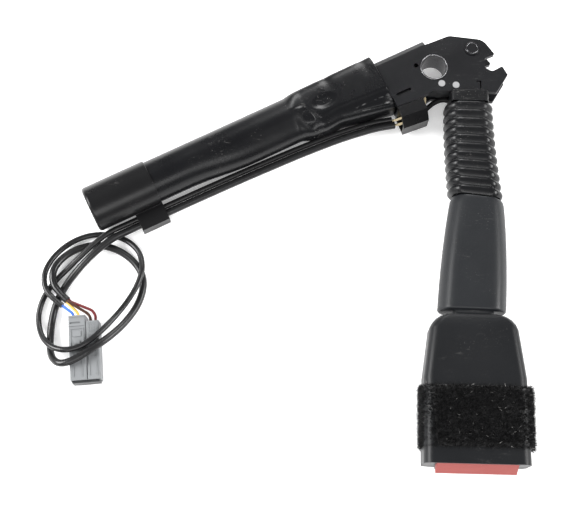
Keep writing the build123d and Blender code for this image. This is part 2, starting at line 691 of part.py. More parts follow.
def stalk_sleeve():
    """Grained sleeve, open at the bellows, with a spigot that plugs into the buckle."""
    shares = (0, 0.5, 1)
    outer = loft([sleeve_section(s, 0) for s in shares], ruled=True)
    inner = loft([sleeve_section(s, SLEEVE_WALL) for s in shares], ruled=True)
    floor = wide(SLEEVE_WIDTH_END, SLEEVE_END - 1, SLEEVE_END + SLEEVE_WALL, -COLLAR_HALF, COLLAR_HALF)
    spigot = wide(SPIGOT_WIDTH / 2, SPIGOT_END, SLEEVE_END + 1, -SPIGOT_HALF, SPIGOT_HALF)
    way = wide(SPIGOT_WIDTH / 2 - SPIGOT_WALL, SPIGOT_END - 1, SLEEVE_END + 2 * SLEEVE_WALL,
               -SPIGOT_HALF + SPIGOT_WALL, SPIGOT_HALF - SPIGOT_WALL)
    return outer - (inner - floor) + spigot - way


def rope_fitting():
    """Barrel swaged on the rope, with a flat eye that lies between the frame's plates."""
    half = TONGUE_GAP / 2 - FITTING_PLAY
    barrel = bar_y(FITTING_BARREL, FITTING_TOP, FITTING_SHOULDER)
    eye = wide(FITTING_EYE_WIDTH / 2, FITTING_EYE_END, FITTING_SHOULDER + 2, TONGUE_Z - half, TONGUE_Z + half)
    fitting = barrel + eye
    fitting -= bar_y(ROPE_RADIUS + FIT, FITTING_TOP + 1, ROPE_END - FIT)
    return fitting - post(FITTING_RIVET_RADIUS + FIT, -BRACKET_DEPTH, BRACKET_DEPTH, STALK_X, RIVET_Y)


def fitting_rivet():
    """Rivet through the frame and the eye."""
    rivet = post(FITTING_RIVET_RADIUS, FRAME_LOW - RIVET_HEAD_LOW, FRAME_HIGH + RIVET_HEAD_HIGH)
    rivet += post(FITTING_RIVET_RADIUS + 1.2, FRAME_LOW - RIVET_HEAD_LOW, FRAME_LOW)
    rivet += post(FITTING_RIVET_RADIUS + 1.2, FRAME_HIGH, FRAME_HIGH + RIVET_HEAD_HIGH)
    return Pos(STALK_X, RIVET_Y, 0) * rivet


# Buckle head

def head_section(y, inset):
    """Rounded face across the head at one height of the stalk."""
    low_shoulder = HEAD_TOP - SHOULDER_RADIUS
    if y >= low_shoulder:
        share = math.sqrt(max(0.0, 1 - ((y - low_shoulder) / SHOULDER_RADIUS) ** 2))
        width = SHOULDER_FLAT + (HEAD_WIDTH_SHOULDER - SHOULDER_FLAT) * share
        half = SHOULDER_HALF + (HEAD_HALF_SHOULDER - SHOULDER_HALF) * share
    elif y >= HEAD_MIDDLE:
        share = (y - low_shoulder) / (HEAD_MIDDLE - low_shoulder)
        width = HEAD_WIDTH_SHOULDER + (HEAD_WIDTH_MIDDLE - HEAD_WIDTH_SHOULDER) * share
        half = HEAD_HALF_SHOULDER + (HEAD_HALF_MIDDLE - HEAD_HALF_SHOULDER) * share
    else:
        share = (y - HEAD_MIDDLE) / (HEAD_END - HEAD_MIDDLE)
        width = HEAD_WIDTH_MIDDLE + (HEAD_WIDTH_END - HEAD_WIDTH_MIDDLE) * share
        half = HEAD_HALF_MIDDLE + (HEAD_HALF_END - HEAD_HALF_MIDDLE) * share
    plane = Plane(origin=(STALK_X, y, 0), x_dir=(1, 0, 0), z_dir=(0, -1, 0))
    return plane * RectangleRounded(width - 2 * inset, 2 * (half - inset), HEAD_CORNER - max(inset, 0))


def head_body(inset, top, end):
    """Solid of the head between two heights, drawn in by an inset."""
    low_shoulder = HEAD_TOP - SHOULDER_RADIUS
    arc = [HEAD_TOP - SHOULDER_RADIUS * (1 - math.cos(math.radians(a))) for a in (12, 26, 42, 60, 76)]
    stations = [top] + [y for y in arc + [low_shoulder, HEAD_MIDDLE] if end < y < top] + [end]
    return loft([head_section(y, inset) for y in stations], ruled=True)


def shell():
    """Both covers as one shell, with the ways for sleeve, button and tongue."""
    body = head_body(0, HEAD_TOP, HEAD_END)
    body -= head_body(COVER_WALL, HEAD_TOP - COVER_WALL, HEAD_END + COVER_WALL)
    body -= wide(SPIGOT_WIDTH / 2 + RUNNING_GAP, HEAD_TOP - 3 * COVER_WALL, HEAD_TOP + 1,
                 -SPIGOT_HALF - RUNNING_GAP, SPIGOT_HALF + RUNNING_GAP)
    mouth_low = -HEAD_HALF_END + COVER_WALL + RUNNING_GAP
    button_way = wide(BUTTON_HALF_WIDTH + BUTTON_PLAY, HEAD_END - 1, HEAD_END + 2 * COVER_WALL,
                      BUTTON_BOTTOM - BUTTON_PLAY, BUTTON_TOP + BUTTON_PLAY)
    guide_way = wide(MOUTH_GUIDE_HALF_WIDTH + RUNNING_GAP, HEAD_END - 1, HEAD_END + 2 * COVER_WALL,
                     mouth_low, MOUTH_GUIDE_TOP + RUNNING_GAP)
    return body - button_way - guide_way


def upper_cover():
    """Front half of the shell, with ribs beside the button's arms and stops for its springs."""
    cover = shell() & block(-60, 100, HEAD_END - 1, HEAD_TOP + 1, 0, 2 * HEAD_HALF_END)
    top = HEAD_HALF_MIDDLE - COVER_WALL / 2
    start = ARM_OUTER + BUTTON_PLAY
    rail_start = BUTTON_BACK + BUTTON_TRAVEL + 2 * BUTTON_PLAY
    for rail in beside(start, start + COVER_RIB, rail_start, ARM_END, ARM_LOW, top):
        cover += rail
    stop_y = ARM_END + BUTTON_SPRING_LENGTH
    for stop in beside(ARM_INNER - 1, ARM_OUTER, stop_y, stop_y + STOP_LENGTH, FRAME_HIGH + 1, top):
        cover += stop
    return cover


def lower_cover():
    """Rear half of the shell, with two ribs that the frame stands on."""
    cover = shell() & block(-60, 100, HEAD_END - 1, HEAD_TOP + 1, -2 * HEAD_HALF_END, 0)
    bottom = -HEAD_HALF_SHOULDER + COVER_WALL / 2
    inner = FRAME_HALF_WIDTH - 6
    for rib in beside(inner, inner + COVER_RIB, FRAME_END + 2, FRAME_TOP - 12, bottom, FRAME_LOW - RUNNING_GAP):
        cover += rib
    return cover


def riveted(plate):
    """Plate of the frame with the bore for the rope fitting's rivet."""
    return plate - post(FITTING_RIVET_RADIUS + FIT, -BRACKET_DEPTH, BRACKET_DEPTH, STALK_X, RIVET_Y)


def frame_floor():
    """Rear plate of the steel frame, under the tongue's way."""
    return riveted(wide(FRAME_HALF_WIDTH, FRAME_END, FRAME_TOP, FRAME_LOW, TONGUE_Z - TONGUE_GAP / 2))


def frame_sides():
    """The two edges of the frame that keep its plates apart and guide the tongue."""
    half_gap = TONGUE_GAP / 2
    return beside(TONGUE_WIDTH / 2, FRAME_HALF_WIDTH, FRAME_END, FRAME_TOP, TONGUE_Z - half_gap, TONGUE_Z + half_gap)


def frame_roof():
    """Front plate of the frame, with the latch's window and two ears for its pin."""
    roof = wide(FRAME_HALF_WIDTH, FRAME_END, FRAME_TOP, TONGUE_Z + TONGUE_GAP / 2, FRAME_HIGH)
    near = LATCH_Y - TOOTH_START + WINDOW_MARGIN
    far = LATCH_Y - TOOTH_START - TOOTH_LENGTH - 2 * WINDOW_MARGIN
    roof -= wide(WINDOW_HALF_WIDTH, far, near, TONGUE_Z, FRAME_HIGH + 1)
    ear_in = LATCH_BARREL_HALF + BUTTON_PLAY
    for ear in beside(ear_in, ear_in + EAR_WIDTH, LATCH_Y - 3.0, LATCH_Y + 3.0, FRAME_HIGH - 0.5, LATCH_Z + 2.4):
        roof += ear
    return riveted(roof - bar_x(LATCH_PIN_RADIUS + FIT, FRAME_HALF_WIDTH, LATCH_Y, LATCH_Z))


def lifted(shape):
    """Turns a piece of the latch up from its locked place to its rest place."""
    return Pos(0, LATCH_Y, LATCH_Z) * Rot(-LATCH_LIFT, 0, 0) * Pos(0, -LATCH_Y, -LATCH_Z) * shape


def latch():
    """Arm on the pin whose tooth drops through the window into the tongue."""
    half = LATCH_PLATE / 2
    arm_end = LATCH_Y - TOOTH_START - TOOTH_LENGTH
    tooth_low = TONGUE_Z - TONGUE_GAP / 2 + 0.6
    arm = wide(LATCH_HALF_WIDTH, arm_end, LATCH_Y, LATCH_Z - half, LATCH_Z + half)
    tooth = wide(TOOTH_HALF_WIDTH, arm_end, LATCH_Y - TOOTH_START, tooth_low, LATCH_Z)
    body = arm + tooth + bar_x(LATCH_BARREL, LATCH_BARREL_HALF, LATCH_Y, LATCH_Z)
    return lifted(body - bar_x(LATCH_PIN_RADIUS + FIT, FRAME_HALF_WIDTH, LATCH_Y, LATCH_Z))


def latch_pin():
    """Pin through both ears, long enough to carry the spring at one side."""
    reach = LATCH_BARREL_HALF + BUTTON_PLAY + EAR_WIDTH
    return bar_x(LATCH_PIN_RADIUS, reach + LATCH_SPRING_LENGTH + 0.4, LATCH_Y, LATCH_Z)


def latch_spring():
    """Coil on the pin, outside the right ear."""
    reach = LATCH_BARREL_HALF + BUTTON_PLAY + EAR_WIDTH + FIT
    x = STALK_X + reach + LATCH_SPRING_LENGTH / 2
    coil = bar_x(LATCH_SPRING_RADIUS, LATCH_SPRING_LENGTH / 2, LATCH_Y, LATCH_Z, x)
    return coil - bar_x(LATCH_PIN_RADIUS + FIT, LATCH_SPRING_LENGTH, LATCH_Y, LATCH_Z, x)


def ejector():
    """Slide between the frame's plates that the tongue pushes back."""
    half = TONGUE_GAP / 2 - EJECTOR_PLAY
    slide = wide(EJECTOR_HALF_WIDTH, EJECTOR_FRONT, EJECTOR_FRONT + EJECTOR_LENGTH, TONGUE_Z - half, TONGUE_Z + half)
    return chamfer(slide.edges().filter_by(Axis.Z), 1.0)


def coil_spring(radius, start, stop, x, z):
    """Compression spring as the sleeve that its turns fill."""
    return bar_y(radius, start, stop, x, z) - bar_y(radius - SPRING_WALL, start, stop, x, z)


def ejector_spring():
    """Spring from the ejector back to the rope fitting."""
    start = EJECTOR_FRONT + EJECTOR_LENGTH + SPRING_PLAY
    return coil_spring(EJECTOR_SPRING_RADIUS, start, FITTING_EYE_END - SPRING_PLAY, STALK_X, TONGUE_Z)


def release_button():
    """Button with a sloping face, hollow behind it, and an arm down each side."""
    lip = BUTTON_BACK - BUTTON_TRAVEL - BUTTON_PLAY
    floor = FRAME_HIGH + BUTTON_PLAY
    side = rounded([(BUTTON_TOP_EDGE, BUTTON_TOP), (BUTTON_BOTTOM_EDGE, BUTTON_BOTTOM), (lip, BUTTON_BOTTOM),
                    (lip, floor), (BUTTON_BACK, floor), (BUTTON_BACK, BUTTON_TOP)],
                   [BUTTON_EDGE, BUTTON_EDGE, BUTTON_EDGE / 4, BUTTON_EDGE / 4, BUTTON_EDGE / 4, BUTTON_EDGE / 4])
    button = extrude(Plane.YZ * make_face(side), 2 * BUTTON_HALF_WIDTH, dir=(1, 0, 0))
    button = Pos(STALK_X - BUTTON_HALF_WIDTH, 0, 0) * button
    pocket_start = BUTTON_TOP_EDGE + 2 * BUTTON_WALL
    button -= wide(BUTTON_HALF_WIDTH - BUTTON_WALL, BUTTON_TOP_EDGE, BUTTON_BACK + 1,
                   floor + BUTTON_WALL, BUTTON_TOP - BUTTON_WALL)
    for arm in beside(ARM_INNER, ARM_OUTER, pocket_start, ARM_END, ARM_LOW, ARM_HIGH):
        button += arm
    return button


def lock_bar():
    """Bar across the button's arms that lies over the latch."""
    return wide(ARM_OUTER, BAR_START, BAR_START + BAR_LENGTH, ARM_HIGH, ARM_HIGH + BAR_HEIGHT)


def button_springs():
    """Two springs behind the button's arms."""
    middle = (ARM_INNER + ARM_OUTER) / 2
    start = ARM_END + SPRING_PLAY
    stop = ARM_END + BUTTON_SPRING_LENGTH - SPRING_PLAY
    return [coil_spring(BUTTON_SPRING_RADIUS, start, stop, STALK_X + s * middle, BUTTON_SPRING_Z) for s in (-1, 1)]


def tongue_guide():
    """Plastic mouth round the tongue's slot."""
    low = -HEAD_HALF_END + COVER_WALL + 2 * RUNNING_GAP
    guide = wide(MOUTH_GUIDE_HALF_WIDTH, MOUTH_GUIDE_END, MOUTH_GUIDE_START, low, MOUTH_GUIDE_TOP)
    half_gap = TONGUE_GAP / 2
    guide -= wide(TONGUE_WIDTH / 2, MOUTH_GUIDE_END - 1, MOUTH_GUIDE_START + 1, TONGUE_Z - half_gap, TONGUE_Z + half_gap)
    flare = wide(TONGUE_WIDTH / 2 + 1, MOUTH_GUIDE_END - 1, MOUTH_GUIDE_END + 1,
                 TONGUE_Z - half_gap - MOUTH_FLARE, TONGUE_Z + half_gap)
    return guide - flare


def buckle_switch():
    """Switch on the frame, where the stalk lead ends."""
    width, length, height = SWITCH_SIZE
    body = Pos(SWITCH_X, SWITCH_TOP_Y - length / 2, SWITCH_Z) * Box(width, length, height)
    return fillet(body.edges().filter_by(Axis.Y).sort_by(Axis.Z)[-2:], 0.8)


def fleece_band():
    """Thick pile band round the head."""
    y = FLEECE_START
    half_width = HEAD_WIDTH_MIDDLE / 2
    width = 2 * half_width + FLEECE_LEFT + FLEECE_RIGHT
    centre = STALK_X + (FLEECE_RIGHT - FLEECE_LEFT) / 2
    plane = Plane(origin=(centre, y, 0), x_dir=(1, 0, 0), z_dir=(0, -1, 0))
    band = extrude(plane * RectangleRounded(width, 2 * FLEECE_HALF, FLEECE_CORNER), FLEECE_LENGTH)
    return band - head_body(-RUNNING_GAP, y + 1, y - FLEECE_LENGTH - 1)


# Connector and the loose leads, on the surface that the object lies on

FREE_LEAD_A = [
    held_route(0)[0], on_tube(-203.6, HELD_LEAD_LINE[0][1], LEAD_HEIGHT), (-184.6, -106.2, -6.2), (-192.2, -112.6, -6.3),
    (-199.6, -119.9, -7.4), (-206.4, -127.4, -10.4), (-212.2, -136.2, -11.4), (-216.0, -145.6, -11.4),
    (-217.4, -155.6, -11.4), (-217.4, -164.4, -10.9), (-216.6, -172.0, -9.0), (-213.9, -178.6, -4.8),
    (-208.6, -182.2, -0.8), (-201.4, -180.4, 0.5), (-191.6, -173.6, 0.5), (-183.1, -166.4, -2.5),
    (-176.0, -157.6, -7.5), (-170.3, -147.9, -11.0), (-166.8, -138.6, -11.4), (-166.4, -129.6, -11.4),
    (-170.4, -121.4, -11.4), (-178.0, -114.7, -11.4), (-186.8, -110.6, -11.4), (-196.8, -109.4, -11.4),
    (-206.2, -112.2, -11.0), (-213.8, -118.2, -8.8), (-218.4, -126.2, -6.8), (-217.8, -134.4, -6.5),
    (-213.6, -139.8, -6.4), (-208.4, -144.5, -6.4),
]
FREE_LEAD_B = [
    held_route(LEAD_PITCH)[0], on_tube(-204.2, HELD_LEAD_LINE[0][1] + LEAD_PITCH, LEAD_HEIGHT),
    (-186.9, -102.7, -6.2), (-194.9, -109.2, -6.6), (-202.6, -116.8, -8.0), (-210.6, -124.4, -10.8),
    (-218.0, -132.2, -11.85), (-223.2, -140.9, -11.85), (-225.5, -150.0, -11.85), (-224.7, -158.0, -11.0),
    (-221.2, -166.0, -7.2), (-215.3, -172.0, -3.2), (-207.2, -174.6, -0.4), (-198.4, -172.7, -0.1),
    (-191.0, -167.2, -0.1), (-185.0, -160.0, -2.5), (-179.0, -151.3, -6.0), (-173.4, -142.6, -6.9),
    (-168.9, -133.6, -6.7), (-166.9, -124.8, -6.9), (-168.6, -115.6, -9.5), (-174.4, -108.2, -11.6),
    (-182.8, -104.0, -11.85), (-192.7, -102.6, -11.85), (-202.9, -104.5, -11.5), (-212.0, -109.9, -10.4),
    (-219.2, -118.2, -8.6), (-223.4, -128.0, -7.2), (-222.4, -137.0, -6.9), (-217.2, -143.2, -6.8),
    (-211.2, -147.4, -6.8),
]
CAVITY_Z = CONNECTOR_DEPTH / 2
LEFT_CAVITIES = [CAVITY_MARGIN, CAVITY_MARGIN + CAVITY_PITCH]
RIGHT_CAVITIES = [LEFT_WIDTH + CAVITY_MARGIN, LEFT_WIDTH + CAVITY_MARGIN + CAVITY_PITCH]


def on_connector(x, drop, z):
    """Point in the connector's frame, with the drop counted down from its upper left corner."""
    return tuple((CONNECTOR_FRAME * Pos(x, -drop, z)).position)


def connector_cavity(x, start):
    """Bore for one core and its socket, with the core's own bore above it."""
    return bar_y(CAVITY_RADIUS, -start + 1, -start - CAVITY_DEPTH, x, CAVITY_Z)


def connector_left():
    """Taller housing, with two latch windows near its top."""
    body = block(0, LEFT_WIDTH, -LEFT_LENGTH, 0, 0, CONNECTOR_DEPTH)
    body = fillet(body.edges().filter_by(Axis.Y), 0.8)
    for x in LEFT_CAVITIES:
        body -= connector_cavity(x, 0)
        body -= block(x - 1.5, x + 1.5, -4.8, -3.8, CONNECTOR_DEPTH - WALL_NOTCH, CONNECTOR_DEPTH + 1)
    step = block(-1, LEFT_WIDTH + 1, -6.6, -6.2, CONNECTOR_DEPTH - 0.4, CONNECTOR_DEPTH + 1)
    return CONNECTOR_FRAME * (body - step)


def connector_right():
    """Shorter housing beside it."""
    x0 = LEFT_WIDTH + HOUSING_GAP
    body = block(x0, x0 + RIGHT_WIDTH, -LEFT_LENGTH, -RIGHT_START, 0, CONNECTOR_DEPTH - 0.6)
    body = fillet(body.edges().filter_by(Axis.Y), 0.8)
    for x in RIGHT_CAVITIES:
        body -= connector_cavity(x, RIGHT_START)
    return CONNECTOR_FRAME * body


def connector_lock():
    """Secondary lock across the mating end of both housings."""
    width = LEFT_WIDTH + HOUSING_GAP + RIGHT_WIDTH
    body = block(0.8, width - 0.8, -LEFT_LENGTH - 1.4, -LEFT_LENGTH, 1.4, CONNECTOR_DEPTH - 1.8)
    return CONNECTOR_FRAME * body


def connector_terminals():
    """Crimped socket at the bottom of each bore."""
    tubes = []
    for places, start in ((LEFT_CAVITIES, 0), (RIGHT_CAVITIES, RIGHT_START)):
        for x in places:
            end = -start - CAVITY_DEPTH
            tubes.append(CONNECTOR_FRAME * bar_y(CAVITY_RADIUS - 2 * FIT, end + TERMINAL_LENGTH, end, x, CAVITY_Z))
    return tubes


def wire_route(lead, side, up, x, drop, straight=2.2):
    """Core from a jacket's end into its bore in the connector."""
    end_drop = drop + CAVITY_DEPTH - TERMINAL_LENGTH
    return [beyond(lead, 0, side, up), beyond(lead, 2.0, side, up), on_connector(x, drop - straight, CAVITY_Z + 0.1),
            on_connector(x, end_drop, CAVITY_Z)]


def coloured_wires():
    """The four cores between the jackets and the connector."""
    low = -CORE_SPREAD / 2
    side = CORE_SPREAD * math.cos(math.radians(30))
    return {
        "blue_wire": wire_route(FREE_LEAD_B, 0, 0, LEFT_CAVITIES[0], 0),
        "yellow_wire": wire_route(FREE_LEAD_A, -side, low, LEFT_CAVITIES[1], 0),
        "brown_wire": wire_route(FREE_LEAD_A, 0, CORE_SPREAD, RIGHT_CAVITIES[0], RIGHT_START, 4.2),
        "red_wire": wire_route(FREE_LEAD_A, side, low, RIGHT_CAVITIES[1], RIGHT_START, 6.2),
    }


def parts():
    """Every node by name."""
    nodes = {
        "anchor_bracket": anchor_bracket(), "mounting_bush": mounting_bush(), "rope_guide": rope_guide(),
        "guide_rivets": guide_rivets(), "locating_pin": locating_pin(),
        "pretensioner_tube": pretensioner_tube(), "tube_end_plug": tube_end_plug(), "tube_cap": tube_cap(),
        "piston": piston(), "piston_seal": piston_seal(), "locking_balls": locking_balls(),
        "rope_ferrule": rope_ferrule(), "gas_generator": gas_generator(), "generator_seal": generator_seal(),
        "igniter_plug": igniter_plug(), "wire_rope": wire_rope(),
        "bracket_lead_clip": bracket_lead_clip(), "clip_wires": clip_wires(), "stalk_lead": stalk_lead(),
        "held_lead_a": cord("held lead A", held_route(0), LEAD_A_RADIUS),
        "held_lead_b": cord("held lead B", held_route(LEAD_PITCH), LEAD_B_RADIUS),
        "bellows_collar": bellows_collar(), "bellows": bellows(), "stalk_sleeve": stalk_sleeve(),
        "rope_fitting": rope_fitting(), "fitting_rivet": fitting_rivet(),
        "upper_cover": upper_cover(), "lower_cover": lower_cover(),
        "frame_floor": frame_floor(), "frame_sides": frame_sides(), "frame_roof": frame_roof(),
        "latch": latch(), "latch_pin": latch_pin(), "latch_spring": latch_spring(),
        "ejector": ejector(), "ejector_spring": ejector_spring(),
        "release_button": release_button(), "lock_bar": lock_bar(), "button_springs": button_springs(),
        "tongue_guide": tongue_guide(), "buckle_switch": buckle_switch(), "fleece_band": fleece_band(),
        "connector_left": connector_left(), "connector_right": connector_right(),
        "connector_lock": connector_lock(), "connector_terminals": connector_terminals(),
        "free_lead_a": cord("free lead A", FREE_LEAD_A, LEAD_A_RADIUS),
        "free_lead_b": cord("free lead B", FREE_LEAD_B, LEAD_B_RADIUS),
    }
    for name, points in coloured_wires().items():
        nodes[name] = cord(name, points, WIRE_RADIUS)
    return nodes


def main():
    os.makedirs("parts", exist_ok=True)
    for name, shape in parts().items():
        solids = shape if isinstance(shape, list) else [shape]
        flat = [solid for piece in solids for solid in piece.solids()]
        export_step(flat[0] if len(flat) == 1 else Compound(children=flat), f"parts/{name}.step")


main()
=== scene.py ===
# %% [markdown]
# A seat belt buckle on its rope stalk, with the folded anchor bracket, the pretensioner tube and
# two loose leads that end in a grey connector. The solid model is loaded first and stays as it is:
# it gives every piece its place. What this lesson adds is the look, and the shapes that a plain
# solid can't give, such as soft rubber rings, pile and limp leads.

# %% Load the solid model
import json
import math

import bmesh
import bpy
import numpy as np
from mathutils import Matrix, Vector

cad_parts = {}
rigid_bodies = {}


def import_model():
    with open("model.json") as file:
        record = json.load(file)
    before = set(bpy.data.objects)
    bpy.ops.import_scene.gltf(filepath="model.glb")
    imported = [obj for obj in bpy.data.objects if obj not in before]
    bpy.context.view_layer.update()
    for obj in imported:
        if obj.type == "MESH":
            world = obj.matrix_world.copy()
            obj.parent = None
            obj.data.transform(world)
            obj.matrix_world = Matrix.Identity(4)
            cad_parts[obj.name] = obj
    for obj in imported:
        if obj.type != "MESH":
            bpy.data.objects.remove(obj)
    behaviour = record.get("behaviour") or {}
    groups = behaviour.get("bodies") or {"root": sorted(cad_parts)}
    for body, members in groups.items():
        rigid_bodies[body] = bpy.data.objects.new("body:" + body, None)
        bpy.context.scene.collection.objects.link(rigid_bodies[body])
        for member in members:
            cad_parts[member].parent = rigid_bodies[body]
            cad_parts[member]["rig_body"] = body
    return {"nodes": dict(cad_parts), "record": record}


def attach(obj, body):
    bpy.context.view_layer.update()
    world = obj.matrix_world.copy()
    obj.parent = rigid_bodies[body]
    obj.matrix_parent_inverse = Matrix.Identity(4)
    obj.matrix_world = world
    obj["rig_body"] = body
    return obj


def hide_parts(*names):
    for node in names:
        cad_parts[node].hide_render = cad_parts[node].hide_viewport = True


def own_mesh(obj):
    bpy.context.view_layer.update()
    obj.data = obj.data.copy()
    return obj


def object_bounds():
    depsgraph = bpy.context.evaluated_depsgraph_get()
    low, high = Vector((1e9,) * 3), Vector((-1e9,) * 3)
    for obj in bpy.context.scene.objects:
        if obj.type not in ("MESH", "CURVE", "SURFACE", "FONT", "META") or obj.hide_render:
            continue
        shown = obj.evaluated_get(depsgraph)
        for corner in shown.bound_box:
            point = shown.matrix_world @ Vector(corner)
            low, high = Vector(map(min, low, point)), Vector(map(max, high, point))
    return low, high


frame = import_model()
cad_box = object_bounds()
nodes = frame["nodes"]
MM = 0.001
box_in_mm = [[round(c / MM, 1) for c in corner] for corner in cad_box]
print("solid nodes:", len(nodes), "box in mm:", box_in_mm)

# %% [markdown]
# The photograph looks down steeply on the object, which lies on a white surface. The camera stands
# 601 mm above the bracket's middle plane and looks 73.5 degrees down. A long lens keeps the far end
# of the tube and the near end of the buckle at nearly the same scale.

# %% Camera at the photograph's angle
LOOK_DOWN = 73.5
STALK_TURN = 1.5
CAMERA_PLACE = (-80.09, -293.58, 601.4)
FOCAL_PIXELS = 1100.0
PICTURE_WIDTH = 572.0
SENSOR_WIDTH = 36.0
FARTHEST_SEEN = 20.0
camera_data = bpy.data.cameras.new("photo_camera")
camera = bpy.data.objects.new("photo_camera", camera_data)
bpy.context.scene.collection.objects.link(camera)
camera_data.sensor_width = SENSOR_WIDTH
camera_data.lens = FOCAL_PIXELS * SENSOR_WIDTH / PICTURE_WIDTH
camera_data.clip_end = FARTHEST_SEEN
camera.location = [c * MM for c in CAMERA_PLACE]
camera.rotation_euler = (math.radians(90 - LOOK_DOWN), 0, math.radians(STALK_TURN))
bpy.context.scene.camera = camera
print("lens in mm:", round(camera_data.lens, 2))

# %% [markdown]
# The two loose leads come next, because they decide how much room the object takes. Each is one
# smooth NURBS curve through listed control points: the same points that the solid model's lead
# was bent from. A curve with a round bevel is the plain way to make a lead, since its section stays
# round wherever it turns. The first points repeat the direction of the clip that the lead leaves.

# %% Tube frame: where the pretensioner lies
TUBE_TURN = math.radians(27.8)
TUBE_OFFSET = 10.9
CAP_END = -218.4
ALONG = np.array([math.cos(TUBE_TURN), math.sin(TUBE_TURN), 0.0])
ACROSS = np.array([-math.sin(TUBE_TURN), math.cos(TUBE_TURN), 0.0])
UP = np.array([0.0, 0.0, 1.0])


def on_tube(t, a, z):
    """Point at t along the tube and a across it, both counted from the bore."""
    return tuple(t * ALONG + (a + TUBE_OFFSET) * ACROSS + z * UP)


print("the cap's end lies at", [round(c, 1) for c in on_tube(CAP_END, 0, 0)])

# %% Free leads
LEAD_A_RADIUS = 2.1
LEAD_B_RADIUS = 1.65
LEAD_STEPS = 8
LEAD_ROUNDNESS = 5
LEAD_A = [
    on_tube(-196.1, -18.9, -6.0), on_tube(-203.6, -18.9, -6.0),
    (-184.6, -106.2, -6.2), (-192.2, -112.6, -6.3),
    (-199.6, -119.9, -7.4), (-206.4, -127.4, -10.4), (-212.2, -136.2, -11.4), (-216.0, -145.6, -11.4),
    (-217.4, -155.6, -11.4), (-217.4, -164.4, -10.9), (-216.6, -172.0, -9.0), (-213.9, -178.6, -4.8),
    (-208.6, -182.2, -0.8), (-201.4, -180.4, 0.5), (-191.6, -173.6, 0.5), (-183.1, -166.4, -2.5),
    (-176.0, -157.6, -7.5), (-170.3, -147.9, -11.0), (-166.8, -138.6, -11.4), (-166.4, -129.6, -11.4),
    (-170.4, -121.4, -11.4), (-178.0, -114.7, -11.4), (-186.8, -110.6, -11.4), (-196.8, -109.4, -11.4),
    (-206.2, -112.2, -11.0), (-213.8, -118.2, -8.8), (-218.4, -126.2, -6.8), (-217.8, -134.4, -6.5),
    (-213.6, -139.8, -6.4), (-208.4, -144.5, -6.4),
]
LEAD_B = [
    on_tube(-196.1, -14.9, -6.0), on_tube(-204.2, -14.9, -6.0),
    (-186.9, -102.7, -6.2), (-194.9, -109.2, -6.6),
    (-202.6, -116.8, -8.0), (-210.6, -124.4, -10.8), (-218.0, -132.2, -11.85), (-223.2, -140.9, -11.85),
    (-225.5, -150.0, -11.85), (-224.7, -158.0, -11.0), (-221.2, -166.0, -7.2), (-215.3, -172.0, -3.2),
    (-207.2, -174.6, -0.4), (-198.4, -172.7, -0.1), (-191.0, -167.2, -0.1), (-185.0, -160.0, -2.5),
    (-179.0, -151.3, -6.0), (-173.4, -142.6, -6.9), (-168.9, -133.6, -6.7), (-166.9, -124.8, -6.9),
    (-168.6, -115.6, -9.5), (-174.4, -108.2, -11.6), (-182.8, -104.0, -11.85), (-192.7, -102.6, -11.85),
    (-202.9, -104.5, -11.5), (-212.0, -109.9, -10.4), (-219.2, -118.2, -8.6), (-223.4, -128.0, -7.2),
    (-222.4, -137.0, -6.9), (-217.2, -143.2, -6.8), (-211.2, -147.4, -6.8),
]


def lead_curve(name, points, radius):
    """One open NURBS spline with a round bevel, its points given in millimetres.

    The bevel is 1 m deep and each point's radius shrinks it to the lead's, so that the bounding box,
    which Blender widens by the point radius alone, stays true.
    """
    data = bpy.data.curves.new(name, "CURVE")
    data.dimensions = "3D"
    spline = data.splines.new("NURBS")
    spline.points.add(len(points) - 1)
    homogeneous = np.ones((len(points), 4))
    homogeneous[:, :3] = np.array(points) * MM
    spline.points.foreach_set("co", homogeneous.ravel())
    spline.points.foreach_set("radius", np.full(len(points), radius * MM))
    spline.order_u = 3
    spline.use_endpoint_u = True
    spline.resolution_u = LEAD_STEPS
    data.bevel_depth = 1.0
    data.bevel_resolution = LEAD_ROUNDNESS
    data.use_fill_caps = True
    lead = bpy.data.objects.new(name, data)
    bpy.context.scene.collection.objects.link(lead)
    return lead


lead_a = lead_curve("loose_lead_a", LEAD_A, LEAD_A_RADIUS)
lead_b = lead_curve("loose_lead_b", LEAD_B, LEAD_B_RADIUS)
for lead, node in ((lead_a, "free_lead_a"), (lead_b, "free_lead_b")):
    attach(lead, "anchor")
    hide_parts(node)
print("leads:", lead_a.name, len(LEAD_A), "points,", lead_b.name, len(LEAD_B), "points")

# %% [markdown]
# The white surface and the light. In the photograph the object lies in a light tent on a surface
# so bright that the white has no tone left and the shadows are faint. Black pieces stay black where
# they mirror the dim top of the tent, and show pale, soft-edged streaks where they mirror the panels.
# So the world is dim, and the large panels stand where no level face mirrors them to the camera:
# in front above the camera, low at the back, and at both sides.

# %% Surface, world and light panels
FLOOR_Z = -13.5
FLOOR_REACH = 3000.0
SURFACE_TONE = 0.93
SURFACE_ROUGHNESS = 0.9
SURFACE_GLOW = 0.27
WORLD_STRENGTH = 0.3
MIDDLE_AIM = (-60, -100, 0)
BRACKET_AIM = (-60, -60, 0)
PANELS = (
    ("panel_left", (-1000, -60, 620), MIDDLE_AIM, (500, 700), 21.0),
    ("panel_right", (900, -160, 560), MIDDLE_AIM, (400, 600), 13.0),
    ("panel_back", (-20, 1000, 460), BRACKET_AIM, (1200, 300), 14.0),
    ("panel_front", (-80, -950, 900), MIDDLE_AIM, (1100, 500), 9.0),
)


